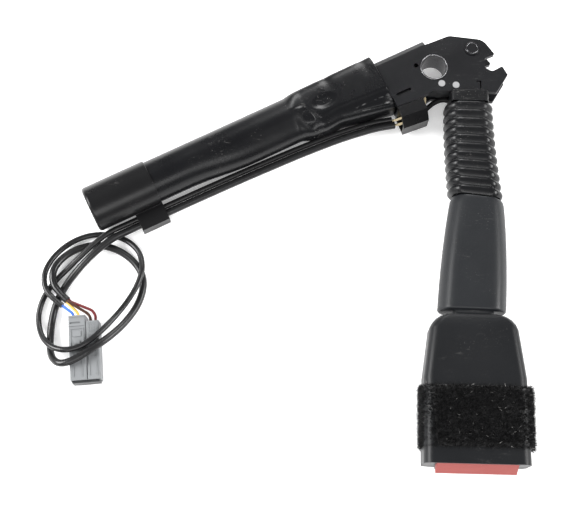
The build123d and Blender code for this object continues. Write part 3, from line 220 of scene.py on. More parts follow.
def light_panel(name, place, aim, size, power):
    """Rectangular area light at a place, turned towards an aim, both in millimetres."""
    data = bpy.data.lights.new(name, "AREA")
    data.shape = "RECTANGLE"
    data.size, data.size_y = size[0] * MM, size[1] * MM
    data.energy = power
    panel = bpy.data.objects.new(name, data)
    bpy.context.scene.collection.objects.link(panel)
    place, aim = np.array(place, float), np.array(aim, float)
    away = (place - aim) / np.linalg.norm(place - aim)
    faces_along_y = abs(away[1]) > 0.9
    side = np.cross([1, 0, 0] if faces_along_y else [0, 1, 0], away)
    side /= np.linalg.norm(side)
    turn = np.column_stack([side, np.cross(away, side), away])
    panel.rotation_mode = "QUATERNION"
    panel.rotation_quaternion = Matrix(turn.tolist()).to_quaternion()
    panel.location = place * MM
    return panel


floor_mesh = bpy.data.meshes.new("surface")
floor_signs = ((-1, -1), (1, -1), (1, 1), (-1, 1))
floor_corners = [(x * FLOOR_REACH * MM, y * FLOOR_REACH * MM, FLOOR_Z * MM) for x, y in floor_signs]
floor_mesh.from_pydata(floor_corners, [], [(0, 1, 2, 3)])
floor = bpy.data.objects.new("surface", floor_mesh)
bpy.context.scene.collection.objects.link(floor)
world = bpy.data.worlds.new("tent")
bpy.context.scene.world = world
world.use_nodes = True
tent = world.node_tree.nodes["Background"]
tent.inputs["Color"].default_value = (1, 1, 1, 1)
tent.inputs["Strength"].default_value = WORLD_STRENGTH
for panel in PANELS:
    light_panel(*panel)
white = bpy.data.materials.new("white_surface")
white.use_nodes = True
white_shader = white.node_tree.nodes["Principled BSDF"]
white_shader.inputs["Base Color"].default_value = (SURFACE_TONE, SURFACE_TONE, SURFACE_TONE, 1)
white_shader.inputs["Roughness"].default_value = SURFACE_ROUGHNESS
white_shader.inputs["Emission Color"].default_value = (1, 1, 1, 1)
white_shader.inputs["Emission Strength"].default_value = SURFACE_GLOW
floor.data.materials.append(white)
bpy.context.scene.view_settings.view_transform = "Standard"

# %% [markdown]
# Shader groups. Three effects are shared: grain with a slow change of tone, dust with scuffs, and
# worn edges. Each is a node group with named inputs, built once, that only hands out values. The
# Principled BSDF itself stays in the material, where its plain numbers such as metallic and specular
# can be read directly.

# %% Helper to build a shader group
def new_group(name, inputs, outputs):
    """Empty shader group with float or colour sockets; returns the tree and its two end nodes."""
    tree = bpy.data.node_groups.new(name, "ShaderNodeTree")
    for socket, kind, value in inputs:
        made = tree.interface.new_socket(name=socket, in_out="INPUT", socket_type=kind)
        made.default_value = value
    for socket, kind in outputs:
        tree.interface.new_socket(name=socket, in_out="OUTPUT", socket_type=kind)
    start = tree.nodes.new("NodeGroupInput")
    end = tree.nodes.new("NodeGroupOutput")
    return tree, start, end


def node(tree, kind, settings=None, **sockets):
    """Node with its properties set, and its sockets, by name or as i0, given a value or a link."""
    made = tree.nodes.new(kind)
    for key, value in (settings or {}).items():
        setattr(made, key, value)
    for key, value in sockets.items():
        numbered = key[0] == "i" and key[1:].isdigit()
        socket = made.inputs[int(key[1:]) if numbered else key.replace("_", " ")]
        if isinstance(value, bpy.types.NodeSocket):
            tree.links.new(value, socket)
        else:
            socket.default_value = value
    return made


def math_node(tree, operation, a, b=0.0, clamp=False):
    """One Math node; hands back its result socket."""
    settings = {"operation": operation, "use_clamp": clamp}
    return node(tree, "ShaderNodeMath", settings, i0=a, i1=b).outputs[0]


print("group helpers ready")

# %% [markdown]
# Grain is a cell pattern, as on spark-eroded tools, softened with noise. The height it hands out
# goes into a Bump node in the material. Its scale is in cells per metre, because Object coordinates
# are in metres here.

# %% Group: moulded grain
grain_group, gi, go = new_group(
    "moulded_grain", [("Scale", "NodeSocketFloat", 1600.0), ("Softness", "NodeSocketFloat", 0.5)],
    [("Height", "NodeSocketFloat"), ("Tone", "NodeSocketFloat")])
where = node(grain_group, "ShaderNodeTexCoord").outputs["Object"]
cells = node(grain_group, "ShaderNodeTexVoronoi", {"feature": "SMOOTH_F1"}, Vector=where,
             Scale=gi.outputs["Scale"], Smoothness=gi.outputs["Softness"])
clouds = node(grain_group, "ShaderNodeTexNoise", Vector=where, Scale=gi.outputs["Scale"], Detail=3.0,
              Roughness=0.6)
cell_part = math_node(grain_group, "MULTIPLY", cells.outputs["Distance"], 0.7)
cloud_part = math_node(grain_group, "MULTIPLY", clouds.outputs["Fac"], 0.5)
grain_group.links.new(math_node(grain_group, "ADD", cell_part, cloud_part), go.inputs["Height"])
slow = node(grain_group, "ShaderNodeTexNoise", Vector=where, Scale=28.0, Detail=4.0, Roughness=0.55)
grain_group.links.new(slow.outputs["Fac"], go.inputs["Tone"])
print(grain_group.name, [s.name for s in grain_group.interface.items_tree])

# %% [markdown]
# Dust and scuffs. Used parts carry specks of pale grit, rubbed streaks and a haze. The group mixes
# four noises of different sizes and cuts each with a narrow ramp, so that most of the surface stays
# clean. It hands out masks, and each material decides how pale and how rough they make it.

# %% Group: dust and scuffs
dust_group, di, do = new_group(
    "dust_and_scuffs", [("Amount", "NodeSocketFloat", 0.5), ("Scale", "NodeSocketFloat", 1.0)],
    [("Specks", "NodeSocketFloat"), ("Scuffs", "NodeSocketFloat"), ("Haze", "NodeSocketFloat")])


def cut(tree, value, low, high):
    """Steep ramp from 0 at low to 1 at high."""
    ramp = node(tree, "ShaderNodeMapRange", {"clamp": True}, Value=value, From_Min=low, From_Max=high)
    return ramp.outputs["Result"]


def dust_noise(vector, size, **settings):
    """Noise whose size follows the group's Scale; hands back its value socket."""
    scale = math_node(dust_group, "MULTIPLY", di.outputs["Scale"], size)
    return node(dust_group, "ShaderNodeTexNoise", Vector=vector, Scale=scale, **settings).outputs["Fac"]


where = node(dust_group, "ShaderNodeTexCoord").outputs["Object"]
turned = node(dust_group, "ShaderNodeMapping", Vector=where, Rotation=(0.3, 0.2, -0.58),
              Scale=(0.35, 1.9, 1.9))
fine = dust_noise(where, 1500.0, Detail=2.0)
patches = dust_noise(where, 60.0, Detail=3.0)
streaks = dust_noise(turned.outputs["Vector"], 420.0, Detail=4.0, Roughness=0.7)
haze = node(dust_group, "ShaderNodeTexNoise", Vector=where, Scale=22.0, Detail=6.0, Roughness=0.65)
specks = math_node(dust_group, "MULTIPLY", cut(dust_group, fine, 0.68, 0.76),
                   cut(dust_group, patches, 0.5, 0.68))
scuffs = math_node(dust_group, "MULTIPLY", cut(dust_group, streaks, 0.6, 0.74),
                   cut(dust_group, patches, 0.5, 0.7))
for mask, name in ((specks, "Specks"), (scuffs, "Scuffs")):
    dust_group.links.new(math_node(dust_group, "MULTIPLY", mask, di.outputs["Amount"]), do.inputs[name])
dust_group.links.new(cut(dust_group, haze.outputs["Fac"], 0.35, 0.7), do.inputs["Haze"])
print(dust_group.name, "ready")

# %% [markdown]
# Edge wear. A Bevel node gives the normal that a rounded edge would have. Where it turns away from
# the true normal there is an edge, and a noise breaks the line up, because edges rub bare in spots.

# %% Group: edge wear
wear_group, wi, wo = new_group(
    "edge_wear", [("Radius", "NodeSocketFloat", 0.0003), ("Amount", "NodeSocketFloat", 0.5)],
    [("Edge", "NodeSocketFloat")])
rounded_normal = node(wear_group, "ShaderNodeBevel", {"samples": 4}, Radius=wi.outputs["Radius"])
true_normal = node(wear_group, "ShaderNodeNewGeometry")
agreement = wear_group.nodes.new("ShaderNodeVectorMath")
agreement.operation = "DOT_PRODUCT"
wear_group.links.new(rounded_normal.outputs["Normal"], agreement.inputs[0])
wear_group.links.new(true_normal.outputs["True Normal"], agreement.inputs[1])
turn_away = math_node(wear_group, "SUBTRACT", 1.0, agreement.outputs["Value"])
where = node(wear_group, "ShaderNodeTexCoord").outputs["Object"]
spots = node(wear_group, "ShaderNodeTexNoise", Vector=where, Scale=260.0, Detail=5.0, Roughness=0.7)
broken = math_node(wear_group, "MULTIPLY", cut(wear_group, turn_away, 0.04, 0.25),
                   cut(wear_group, spots.outputs["Fac"], 0.48, 0.62))
wear_group.links.new(math_node(wear_group, "MULTIPLY", broken, wi.outputs["Amount"]), wo.inputs["Edge"])
print(wear_group.name, "ready")

# %% [markdown]
# One function makes every material from those groups: a base colour, how far it wanders to a second
# colour, how much dust it carries, how bare its edges are, and the grain's size and depth. Numbers
# that are the same all over go straight onto the shader's own sockets. Specular is set below the
# usual level, because black paint and plastic under a dim tent top look deep only with weak mirroring.

# %% Material maker
PALE_DUST = (0.3, 0.29, 0.28)
GREY_WEAR = (0.12, 0.12, 0.12)
WANDER_SHARE = 1.5
SCUFF_PALENESS = 0.4
SCUFF_ROUGHNESS = 0.35


def mixed(tree, factor, first, second):
    """Colour Mix node; first and second are colours or sockets."""
    mix = node(tree, "ShaderNodeMix", {"data_type": "RGBA"}, Factor=factor)
    for socket, value in ((mix.inputs[6], first), (mix.inputs[7], second)):
        if isinstance(value, bpy.types.NodeSocket):
            tree.links.new(value, socket)
        else:
            socket.default_value = (*value, 1)
    return mix.outputs[2]


def finish_of(name, base, wander=None, roughness=0.5, rough_span=0.12, metallic=0.0,
              grain=1600.0, grain_depth=0.00003, dust=0.3, dust_colour=PALE_DUST, specular=0.3,
              wear=0.0, wear_colour=GREY_WEAR):
    """Principled material: grain in its bump; dust, scuffs, haze and bare edges in its other inputs."""
    material = bpy.data.materials.new(name)
    material.use_nodes = True
    tree = material.node_tree
    shader = tree.nodes["Principled BSDF"]
    wander = wander or tuple(c * WANDER_SHARE for c in base)
    grains = node(tree, "ShaderNodeGroup", {"node_tree": grain_group}, Scale=grain)
    dirt = node(tree, "ShaderNodeGroup", {"node_tree": dust_group}, Amount=dust)
    pale_scuffs = math_node(tree, "MULTIPLY", dirt.outputs["Scuffs"], SCUFF_PALENESS)
    dirt_mask = math_node(tree, "MAXIMUM", dirt.outputs["Specks"], pale_scuffs)
    colour = mixed(tree, grains.outputs["Tone"], base, wander)
    colour = mixed(tree, dirt_mask, colour, dust_colour)
    if wear:
        edges = node(tree, "ShaderNodeGroup", {"node_tree": wear_group}, Amount=wear)
        colour = mixed(tree, edges.outputs["Edge"], colour, wear_colour)
    tree.links.new(colour, shader.inputs["Base Color"])
    hazy = math_node(tree, "MULTIPLY", dirt.outputs["Haze"], rough_span)
    rough = math_node(tree, "ADD", roughness - rough_span / 2, hazy)
    rough_scuffs = math_node(tree, "MULTIPLY", dirt.outputs["Scuffs"], SCUFF_ROUGHNESS)
    rough = math_node(tree, "ADD", rough, rough_scuffs, clamp=True)
    tree.links.new(rough, shader.inputs["Roughness"])
    bump = node(tree, "ShaderNodeBump", Height=grains.outputs["Height"], Distance=grain_depth,
                Strength=1.0)
    tree.links.new(bump.outputs["Normal"], shader.inputs["Normal"])
    shader.inputs["Metallic"].default_value = metallic
    shader.inputs["Specular IOR Level"].default_value = specular
    return material


print("material maker ready")

# %% [markdown]
# The finishes. Steel parts of the bracket have satin black enamel that has worn grey at its edges,
# the tube is glossier and scuffed by grit, covers and sleeve are fine-grained plastic, a touch bluer
# than the paint. The button has faded from red to a chalky brick tone.

# %% Materials
finishes = {
    "satin_enamel": dict(
        base=(0.0036, 0.0037, 0.0044), wander=(0.0072, 0.0075, 0.0088), roughness=0.36,
        grain=2200, grain_depth=0.00002, dust=0.45, specular=0.23, wear=0.5),
    "gloss_enamel": dict(
        base=(0.0024, 0.0025, 0.003), wander=(0.0048, 0.005, 0.006), roughness=0.32, rough_span=0.14,
        grain=900, grain_depth=0.00002, dust=1.0, specular=0.24, wear=0.6),
    "bush_steel": dict(
        base=(0.09, 0.09, 0.095), wander=(0.2, 0.2, 0.205), roughness=0.3, rough_span=0.16,
        metallic=1.0, grain=1400, grain_depth=0.00002, dust=0.3, specular=0.5),
    "gloss_plastic": dict(
        base=(0.004, 0.004, 0.0044), wander=(0.007, 0.007, 0.0075), roughness=0.3,
        grain=1500, grain_depth=0.00001, dust=0.5, specular=0.24, wear=0.4),
    "black_plastic": dict(base=(0.006, 0.006, 0.0065), grain=2600, grain_depth=0.00002),
    "grained_plastic": dict(
        base=(0.0075, 0.0083, 0.0096), wander=(0.012, 0.0131, 0.015), roughness=0.42, rough_span=0.1,
        grain=2300, grain_depth=0.00005, dust=0.3, specular=0.28, wear=0.25),
    "cover_plastic": dict(
        base=(0.0048, 0.0052, 0.006), wander=(0.0078, 0.0084, 0.0096), roughness=0.4, rough_span=0.1,
        grain=2300, grain_depth=0.00005, dust=0.3, specular=0.21, wear=0.3),
    "pale_plastic": dict(base=(0.6, 0.57, 0.5), dust=0.2, dust_colour=(0.2, 0.19, 0.17)),
    "rubber": dict(
        base=(0.0026, 0.0027, 0.0032), wander=(0.005, 0.0052, 0.006), roughness=0.3, rough_span=0.16,
        grain=1500, grain_depth=0.00003, dust=0.9, specular=0.27),
    "jacket": dict(
        base=(0.006, 0.006, 0.0065), wander=(0.011, 0.011, 0.0115), roughness=0.3, rough_span=0.12,
        grain=900, grain_depth=0.00003, dust=0.3, specular=0.36),
    "worn_red": dict(
        base=(0.27, 0.045, 0.038), wander=(0.34, 0.075, 0.066), roughness=0.5,
        grain=2600, grain_depth=0.00004, dust=0.5, dust_colour=(0.45, 0.24, 0.21)),
    "grey_plastic": dict(
        base=(0.15, 0.156, 0.161), wander=(0.2, 0.208, 0.214), roughness=0.46,
        grain=2600, grain_depth=0.00002, dust=0.3, wear=0.3, wear_colour=(0.3, 0.3, 0.3)),
    "dark_grey_plastic": dict(base=(0.02, 0.021, 0.022), roughness=0.5, grain=2600),
    "blue_insulation": dict(base=(0.05, 0.13, 0.42), roughness=0.4, dust=0.1),
    "yellow_insulation": dict(
        base=(0.62, 0.39, 0.06), wander=(0.68, 0.46, 0.12), roughness=0.4, dust=0.1),
    "red_insulation": dict(base=(0.09, 0.008, 0.01), roughness=0.4, dust=0.1),
    "brown_insulation": dict(base=(0.04, 0.017, 0.01), roughness=0.4, dust=0.1),
    "cream_insulation": dict(base=(0.5, 0.42, 0.27), roughness=0.45, dust_colour=(0.2, 0.17, 0.13)),
    "bare_steel": dict(
        base=(0.30, 0.30, 0.31), wander=(0.42, 0.42, 0.43), roughness=0.36, rough_span=0.16,
        metallic=1.0, grain=1400, grain_depth=0.00002, dust=0.2, specular=0.5),
    "dull_zinc": dict(
        base=(0.19, 0.19, 0.195), wander=(0.3, 0.3, 0.305), roughness=0.55, rough_span=0.2,
        metallic=0.15, grain=1400, grain_depth=0.00004, dust=0.4, specular=0.5),
    "brass": dict(base=(0.6, 0.42, 0.16), roughness=0.35, metallic=1.0, dust=0.1),
    "black_pile": dict(
        base=(0.004, 0.004, 0.0043), wander=(0.012, 0.012, 0.0125), roughness=0.5,
        grain=1800, grain_depth=0.00005, dust=0.1, specular=0.35),
    "pale_lint": dict(base=(0.35, 0.34, 0.33), roughness=0.8, dust=0.0),
}
paint = {name: finish_of(name, **numbers) for name, numbers in finishes.items()}
paint_of_slot = {
    "black_steel": "satin_enamel", "gloss_black_steel": "gloss_enamel", "bare_steel": "bare_steel",
    "brass": "brass", "gloss_black_plastic": "gloss_plastic", "black_plastic": "black_plastic",
    "grained_plastic": "grained_plastic", "pale_plastic": "pale_plastic", "black_rubber": "rubber",
    "lead_jacket": "jacket", "fleece": "black_pile", "red_plastic": "worn_red",
    "grey_plastic": "grey_plastic", "blue_plastic": "blue_insulation",
    "yellow_plastic": "yellow_insulation", "red_insulation": "red_insulation",
    "brown_plastic": "brown_insulation", "cream_plastic": "cream_insulation",
}
paint_of_node = {
    "guide_rivets": "dull_zinc", "locating_pin": "satin_enamel", "connector_lock": "dark_grey_plastic",
    "rope_guide": "dark_grey_plastic", "mounting_bush": "bush_steel", "upper_cover": "cover_plastic",
    "lower_cover": "cover_plastic",
}
slot_of = {entry["node"]: entry["material_slot"] for entry in frame["record"]["subparts"]}
for name, solid in nodes.items():
    solid.data.materials.clear()
    solid.data.materials.append(paint[paint_of_node.get(name, paint_of_slot[slot_of[name]])])
for lead in (lead_a, lead_b):
    lead.data.materials.append(paint["jacket"])
print("materials:", len(paint), "on", len(nodes), "solid nodes")

# %% [markdown]
# Real edges are never razor sharp: every stamped, moulded or turned edge catches a thin line of
# light. For pieces whose solid already has the right shape, a copy gets its doubled corners merged
# and its flat faces joined, then a Bevel modifier rounds each edge by a few tenths of a millimetre.

# %% Softened copies of solids
MERGE_DISTANCE = 0.002
FLAT_ANGLE = math.radians(0.6)
SHARP_ANGLE = math.radians(28)
EDGE_SEGMENTS = 2
FLAT_WEIGHT = 90


def show(name, mesh, body, slot, material, *stands_for):
    """Links a finished mesh as a piece that rides on a body and stands for the named nodes."""
    piece = bpy.data.objects.new(name, mesh)
    bpy.context.scene.collection.objects.link(piece)
    piece.data.materials.clear()
    piece.data.materials.append(material)
    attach(piece, body)
    if stands_for:
        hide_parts(*stands_for)
    return piece


def merged(name):
    """A solid's mesh, ready to edit, with its doubled corners merged."""
    work = bmesh.new()
    work.from_mesh(nodes[name].data)
    bmesh.ops.remove_doubles(work, verts=work.verts, dist=MERGE_DISTANCE * MM)
    return work


def show_copy(name, suffix, work, sharp_angle):
    """Shows an edited copy on its solid's body with its solid's finish, standing for that solid."""
    mesh = bpy.data.meshes.new(name + suffix)
    work.to_mesh(mesh)
    work.free()
    mesh.shade_smooth()
    mesh.set_sharp_from_angle(angle=sharp_angle)
    source = nodes[name]
    finish = source.data.materials[0]
    return show(name + suffix, mesh, source["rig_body"], slot_of[name], finish, name)


def softened(name, width):
    """Copy of a solid with its flat faces joined and its edges rounded."""
    work = merged(name)
    bmesh.ops.dissolve_limit(work, angle_limit=FLAT_ANGLE, verts=work.verts, edges=work.edges)
    piece = show_copy(name, "_soft", work, SHARP_ANGLE)
    bevel = piece.modifiers.new("edges", "BEVEL")
    bevel.width = width * MM
    bevel.segments = EDGE_SEGMENTS
    bevel.limit_method = "ANGLE"
    bevel.angle_limit = SHARP_ANGLE
    bevel.use_clamp_overlap = True
    flat = piece.modifiers.new("flat faces", "WEIGHTED_NORMAL")
    flat.weight = FLAT_WEIGHT
    flat.keep_sharp = True


soft_widths = {
    "anchor_bracket": 0.35, "bracket_lead_clip": 0.3, "tube_cap": 0.4, "bellows_collar": 0.4,
    "connector_left": 0.2, "connector_right": 0.2, "connector_lock": 0.2, "release_button": 0.25,
    "tongue_guide": 0.25, "upper_cover": 0.3, "lower_cover": 0.3, "frame_floor": 0.2, "frame_roof": 0.2,
    "latch": 0.2, "ejector": 0.2, "rope_guide": 0.25, "locating_pin": 0.2,
}
for name, width in soft_widths.items():
    softened(name, width)
print("softened:", len(soft_widths))

# %% [markdown]
# Moulded shapes come from formulas. Bellows, sleeve and pile band are all stacks of cross-sections
# along the stalk. A section is a rectangle with cut corners, eight flat sides in all. Each side
# has a direction and a distance. Adding up (direction . ray / distance) to a high power over all
# sides, and taking the root, gives one over the radius along a ray. The higher the power, the
# sharper the corners. A stack of such rings is one grid of points, and it closes on itself where
# the rows run down the outside and back up the inside.

# %% Sections and grids
COLUMNS = 112
STALK_X = 20.6
SIDES = np.array([(math.cos(k * math.pi / 4), math.sin(k * math.pi / 4)) for k in range(8)])


def cut_corner_rings(stations, power, columns=COLUMNS):
    """Grid of points; a station is y, centre x, half width, half depth, corner cut and tilt.

    The radius along a ray is (sum over sides of max(side . ray, 0) / distance, to the power) to the
    power of minus one over the power, and tilt moves a point along the stalk by -tan(tilt) * x.
    """
    y, centre, half_width, half_depth, corner, tilt = np.array(stations, float).T[:, :, None]
    turn = np.linspace(0, 2 * math.pi, columns, endpoint=False)[None, :]
    ray_angle = np.arctan2(half_depth * np.sin(turn), half_width * np.cos(turn))
    rays = np.stack([np.cos(ray_angle), np.sin(ray_angle)], -1)
    slant = (half_width + half_depth - corner) / math.sqrt(2)
    reach = np.concatenate([half_width, slant, half_depth, slant] * 2, axis=1)
    facing = np.maximum(rays @ SIDES.T, 0.0) / reach[:, None, :]
    radius = (facing ** power).sum(-1) ** (-1.0 / power)
    x = radius * rays[..., 0]
    z = radius * rays[..., 1]
    return np.stack([centre + x, y - np.tan(np.radians(tilt)) * x, z], -1)


def grid_mesh(name, points, wrap_rows):
    """Mesh of a grid that closes round its columns; the rows close too, or end in a flat face each."""
    rows, columns = points.shape[:2]
    index = np.arange(rows * columns).reshape(rows, columns)
    lower = index if wrap_rows else index[:-1]
    upper = np.roll(index, -1, axis=0) if wrap_rows else index[1:]
    quads = np.stack([lower, np.roll(lower, -1, 1), np.roll(upper, -1, 1), upper], -1).reshape(-1, 4)
    faces = quads.tolist()
    if not wrap_rows:
        faces += [index[0, ::-1].tolist(), index[-1].tolist()]
    mesh = bpy.data.meshes.new(name)
    mesh.from_pydata((points.reshape(-1, 3) * MM).tolist(), [], faces)
    work = bmesh.new()
    work.from_mesh(mesh)
    if work.calc_volume(signed=True) < 0:
        bmesh.ops.reverse_faces(work, faces=work.faces)
    work.to_mesh(mesh)
    work.free()
    mesh.shade_smooth()
    return mesh


print("sides of a section:", len(SIDES))

# %% [markdown]
# The bellows has eleven rings. In outline each is a round lobe with a narrow valley at either end:
# the inset follows one minus a low power of a sine. Its front and back are flatter. There a ring
# rises over a quarter circle and then falls off slowly, so each ring shows one bright line and a dark
# face. The stack leans to the right with the square of the drop, and its rings tilt more and more
# towards the sleeve.

# %% Bellows
BELLOWS_TOP, BELLOWS_END = -22.0, -80.0
BOOT_WIDTH_TOP, BOOT_WIDENS = 28.4, 3.2
BOOT_LEANS = 3.2
BOOT_HALF_DEPTH = 11.0
BOOT_CORNER = 5.4
BOOT_SHARPNESS = 17.0
BOOT_WALL = 0.9
RINGS = 11
ROWS_PER_RING = 14
RING_DEPTH = 2.3
RING_ROUNDNESS = 0.62
FRONT_DEPTH = 1.3
FRONT_CREST = 0.3
FRONT_FALL = 1.7
LINING_ROWS = 14
STALK_TILT = 5.0


def bellows_station(share, side_inset, front_inset):
    """Section of the boot at a share of its length, drawn in at its sides and at front and back."""
    y = BELLOWS_TOP + (BELLOWS_END - BELLOWS_TOP) * share
    centre = STALK_X + BOOT_LEANS * share ** 2
    half_width = (BOOT_WIDTH_TOP + BOOT_WIDENS * share) / 2 - side_inset
    half_depth = BOOT_HALF_DEPTH - front_inset
    corner = BOOT_CORNER - (side_inset + front_inset) / 4
    return (y, centre, half_width, half_depth, corner, STALK_TILT * share)


shares = np.linspace(0, 1, RINGS * ROWS_PER_RING + 1)
within = (RINGS * shares) % 1.0
lobe = RING_DEPTH * (1 - np.abs(np.sin(math.pi * within)) ** RING_ROUNDNESS)
rise = 1 - np.sqrt(1 - np.clip(1 - within / FRONT_CREST, 0, 1) ** 2)
fall = np.clip((within - FRONT_CREST) / (1 - FRONT_CREST), 0, 1) ** FRONT_FALL
ridge = FRONT_DEPTH * np.where(within < FRONT_CREST, rise, fall)
outside = [bellows_station(*row) for row in zip(shares, lobe, ridge)]
inside = [bellows_station(share, RING_DEPTH + BOOT_WALL, FRONT_DEPTH + BOOT_WALL)
          for share in np.linspace(1, 0, LINING_ROWS)]
bellows_grid = cut_corner_rings(outside + inside, BOOT_SHARPNESS)
bellows_mesh = grid_mesh("bellows_rings", bellows_grid, wrap_rows=True)
bellows_piece = show("bellows_rings", bellows_mesh, "anchor", "black_rubber", paint["rubber"], "bellows")
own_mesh(bellows_piece)
print("bellows faces:", len(bellows_mesh.polygons))

# %% [markdown]
# Rope and stalk lead run on inside the bellows, the sleeve and the buckle. When the buckle is pulled
# up, their straight lower runs have to shorten by as much as the bellows do, or their ends would push
# through the rope's fitting and the latch. Each is cut square at the collar into an upper and a lower
# run, each closed at the cut. The springs behind the button and the ejector are copied whole. The
# lower runs and the springs each get a mesh of their own.

# %% Hidden runs cut at the collar, and spring copies
RUN_CUT = BELLOWS_TOP - 2.0
BUTTON_TRAVEL, EJECTOR_TRAVEL = 4.5, 12.0
WIRE_SHARP_ANGLE = math.radians(40)


def cut_copy(name, suffix, keep_above):
    """Copy of a solid cut square across y at RUN_CUT and closed there, with one side kept."""
    work = merged(name)
    everything = work.verts[:] + work.edges[:] + work.faces[:]
    bmesh.ops.bisect_plane(work, geom=everything, plane_co=(0, RUN_CUT * MM, 0), plane_no=(0, 1, 0),
                           clear_inner=keep_above, clear_outer=not keep_above)
    bmesh.ops.holes_fill(work, edges=[edge for edge in work.edges if edge.is_boundary])
    return show_copy(name, suffix, work, WIRE_SHARP_ANGLE)


def shortened(piece):
    """Gives a piece a mesh of its own."""
    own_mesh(piece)


for name in ("wire_rope", "stalk_lead"):
    cut_copy(name, "_upper", keep_above=True)
    shortened(cut_copy(name, "_lower", keep_above=False))
for name, joint, travel in (("button_springs", "button_press", BUTTON_TRAVEL),
                            ("ejector_spring", "ejector_travel", EJECTOR_TRAVEL)):
    shortened(show_copy(name, "_coils", merged(name), WIRE_SHARP_ANGLE))

# %% [markdown]
# The sleeve swells along a power of a quarter sine, quickly at the bellows and hardly at its end. Its
# mouth is cut at nearly the tilt of the last ring. Its lower end rolls in over a small radius to a
# floor, a spigot goes on into the buckle, and the grid returns inside spigot and sleeve to where it
# began.

# %% Sleeve
SLEEVE_TOP, SLEEVE_END = -80.4, -147.4
SLEEVE_WIDTH_TOP, SLEEVE_SWELLS = 30.2, 9.0
SWELL_POWER = 0.75
SLEEVE_SHIFT_TOP, SLEEVE_SHIFT_END = 4.2, -0.4
SLEEVE_HALF_DEPTH = 10.5
SLEEVE_CORNER = 6.2
SLEEVE_SHARPNESS = 11.0
SLEEVE_TILT_END = 0.8
SLEEVE_WALL = 2.0
SPIGOT_BEND, SPIGOT_END = -150.0, -153.5
SPIGOT_HALF_WIDTH, SPIGOT_HALF_DEPTH = 12.0, 7.0
SPIGOT_WALL = 1.5
SPIGOT_CORNER = 1.0
LIP = 1.4


def sleeve_station(share, inset, shift=0.0):
    """Section of the sleeve at a share of its length; shift moves the ring along the stalk."""
    y = SLEEVE_TOP + (SLEEVE_END - SLEEVE_TOP) * share + shift
    swell = SLEEVE_SWELLS * math.sin(math.pi / 2 * share) ** SWELL_POWER
    half_width = (SLEEVE_WIDTH_TOP + swell) / 2 - inset
    centre = STALK_X + SLEEVE_SHIFT_TOP * (1 - share) + SLEEVE_SHIFT_END * share
    tilt = STALK_TILT * (1 - share) + SLEEVE_TILT_END
    return (y, centre, half_width, SLEEVE_HALF_DEPTH - inset, SLEEVE_CORNER - inset, tilt)


def spigot_station(y, inset):
    """Section of the spigot."""
    return (y, STALK_X, SPIGOT_HALF_WIDTH - inset, SPIGOT_HALF_DEPTH - inset, SPIGOT_CORNER, 0.0)


lip_turns = np.radians(np.linspace(0, 90, 6))
upper_lip = [sleeve_station(0, LIP * (1 - math.sin(a)), -LIP * (1 - math.cos(a))) for a in lip_turns]
lower_lip = [sleeve_station(1, LIP * (1 - math.cos(a)), LIP * (1 - math.sin(a))) for a in lip_turns]
flank = [sleeve_station(share, 0) for share in np.linspace(0.04, 0.96, 30)]
ways = [spigot_station(y, 0.0) for y in (SLEEVE_END, SPIGOT_BEND, SPIGOT_END)]
ways += [spigot_station(y, SPIGOT_WALL) for y in (SPIGOT_END, SPIGOT_BEND, SLEEVE_END + SLEEVE_WALL)]
lining = [sleeve_station(share, SLEEVE_WALL) for share in np.linspace(0.97, 0.0, 16)]
sleeve_grid = cut_corner_rings(upper_lip + flank + lower_lip + ways + lining, SLEEVE_SHARPNESS)
sleeve_mesh = grid_mesh("sleeve_moulding", sleeve_grid, wrap_rows=True)
show("sleeve_moulding", sleeve_mesh, "buckle", "grained_plastic", paint["grained_plastic"],
     "stalk_sleeve")
print("sleeve faces:", len(sleeve_mesh.polygons))

# %% [markdown]
# The pile band is a soft ground with tens of thousands of fibres. Each fibre is a closed spike of
# three sides, rooted on the ground's surface. Fibres stand along the surface normal, lean at random,
# and lean together in tufts: the shared lean is a sum of sines of the root's place, with wavelengths
# of one to three millimetres. A few of them are pale lint.

# %% Pile band
FLEECE_TOP, FLEECE_END = -189.9, -223.1
FLEECE_CENTRE = STALK_X + 0.8
GROUND_HALF_WIDTH = 30.3
GROUND_HALF_DEPTH = 12.1
GROUND_CORNER = 5.0
GROUND_SHARPNESS = 14.0
GROUND_EDGE = 1.5
HEAD_TOP, HEAD_END = -185.0, -232.0
BORE_HALF_WIDTH, BORE_WIDENS = 28.2, 0.7
BORE_HALF_DEPTH, BORE_GAP, BORE_CORNER = 11.0, 0.15, 2.6
FIBRES = 34000
FIBRE_RADIUS = 0.17
FIBRE_LENGTHS = (1.5, 3.5)
ROOT_DEPTH = 0.3
EDGE_BAND = 2.0
EDGE_PULL = 0.5
TUFT_LEAN, SINGLE_LEAN = 0.34, 0.36
TUFT_LENGTH = 0.22
LINT_SHARE = 0.004
rng = np.random.default_rng(7)


def ground_station(y, inset):
    """Outer section of the band's ground."""
    half_width, half_depth = GROUND_HALF_WIDTH - inset, GROUND_HALF_DEPTH - inset
    return (y, FLEECE_CENTRE, half_width, half_depth, GROUND_CORNER, 0.0)


def bore_station(y):
    """Inner section, a hair wider than the covers at that height."""
    share = (y - HEAD_TOP) / (HEAD_END - HEAD_TOP)
    half_width = BORE_HALF_WIDTH + BORE_WIDENS * share + BORE_GAP
    return (y, STALK_X, half_width, BORE_HALF_DEPTH + share + BORE_GAP, BORE_CORNER, 0.0)


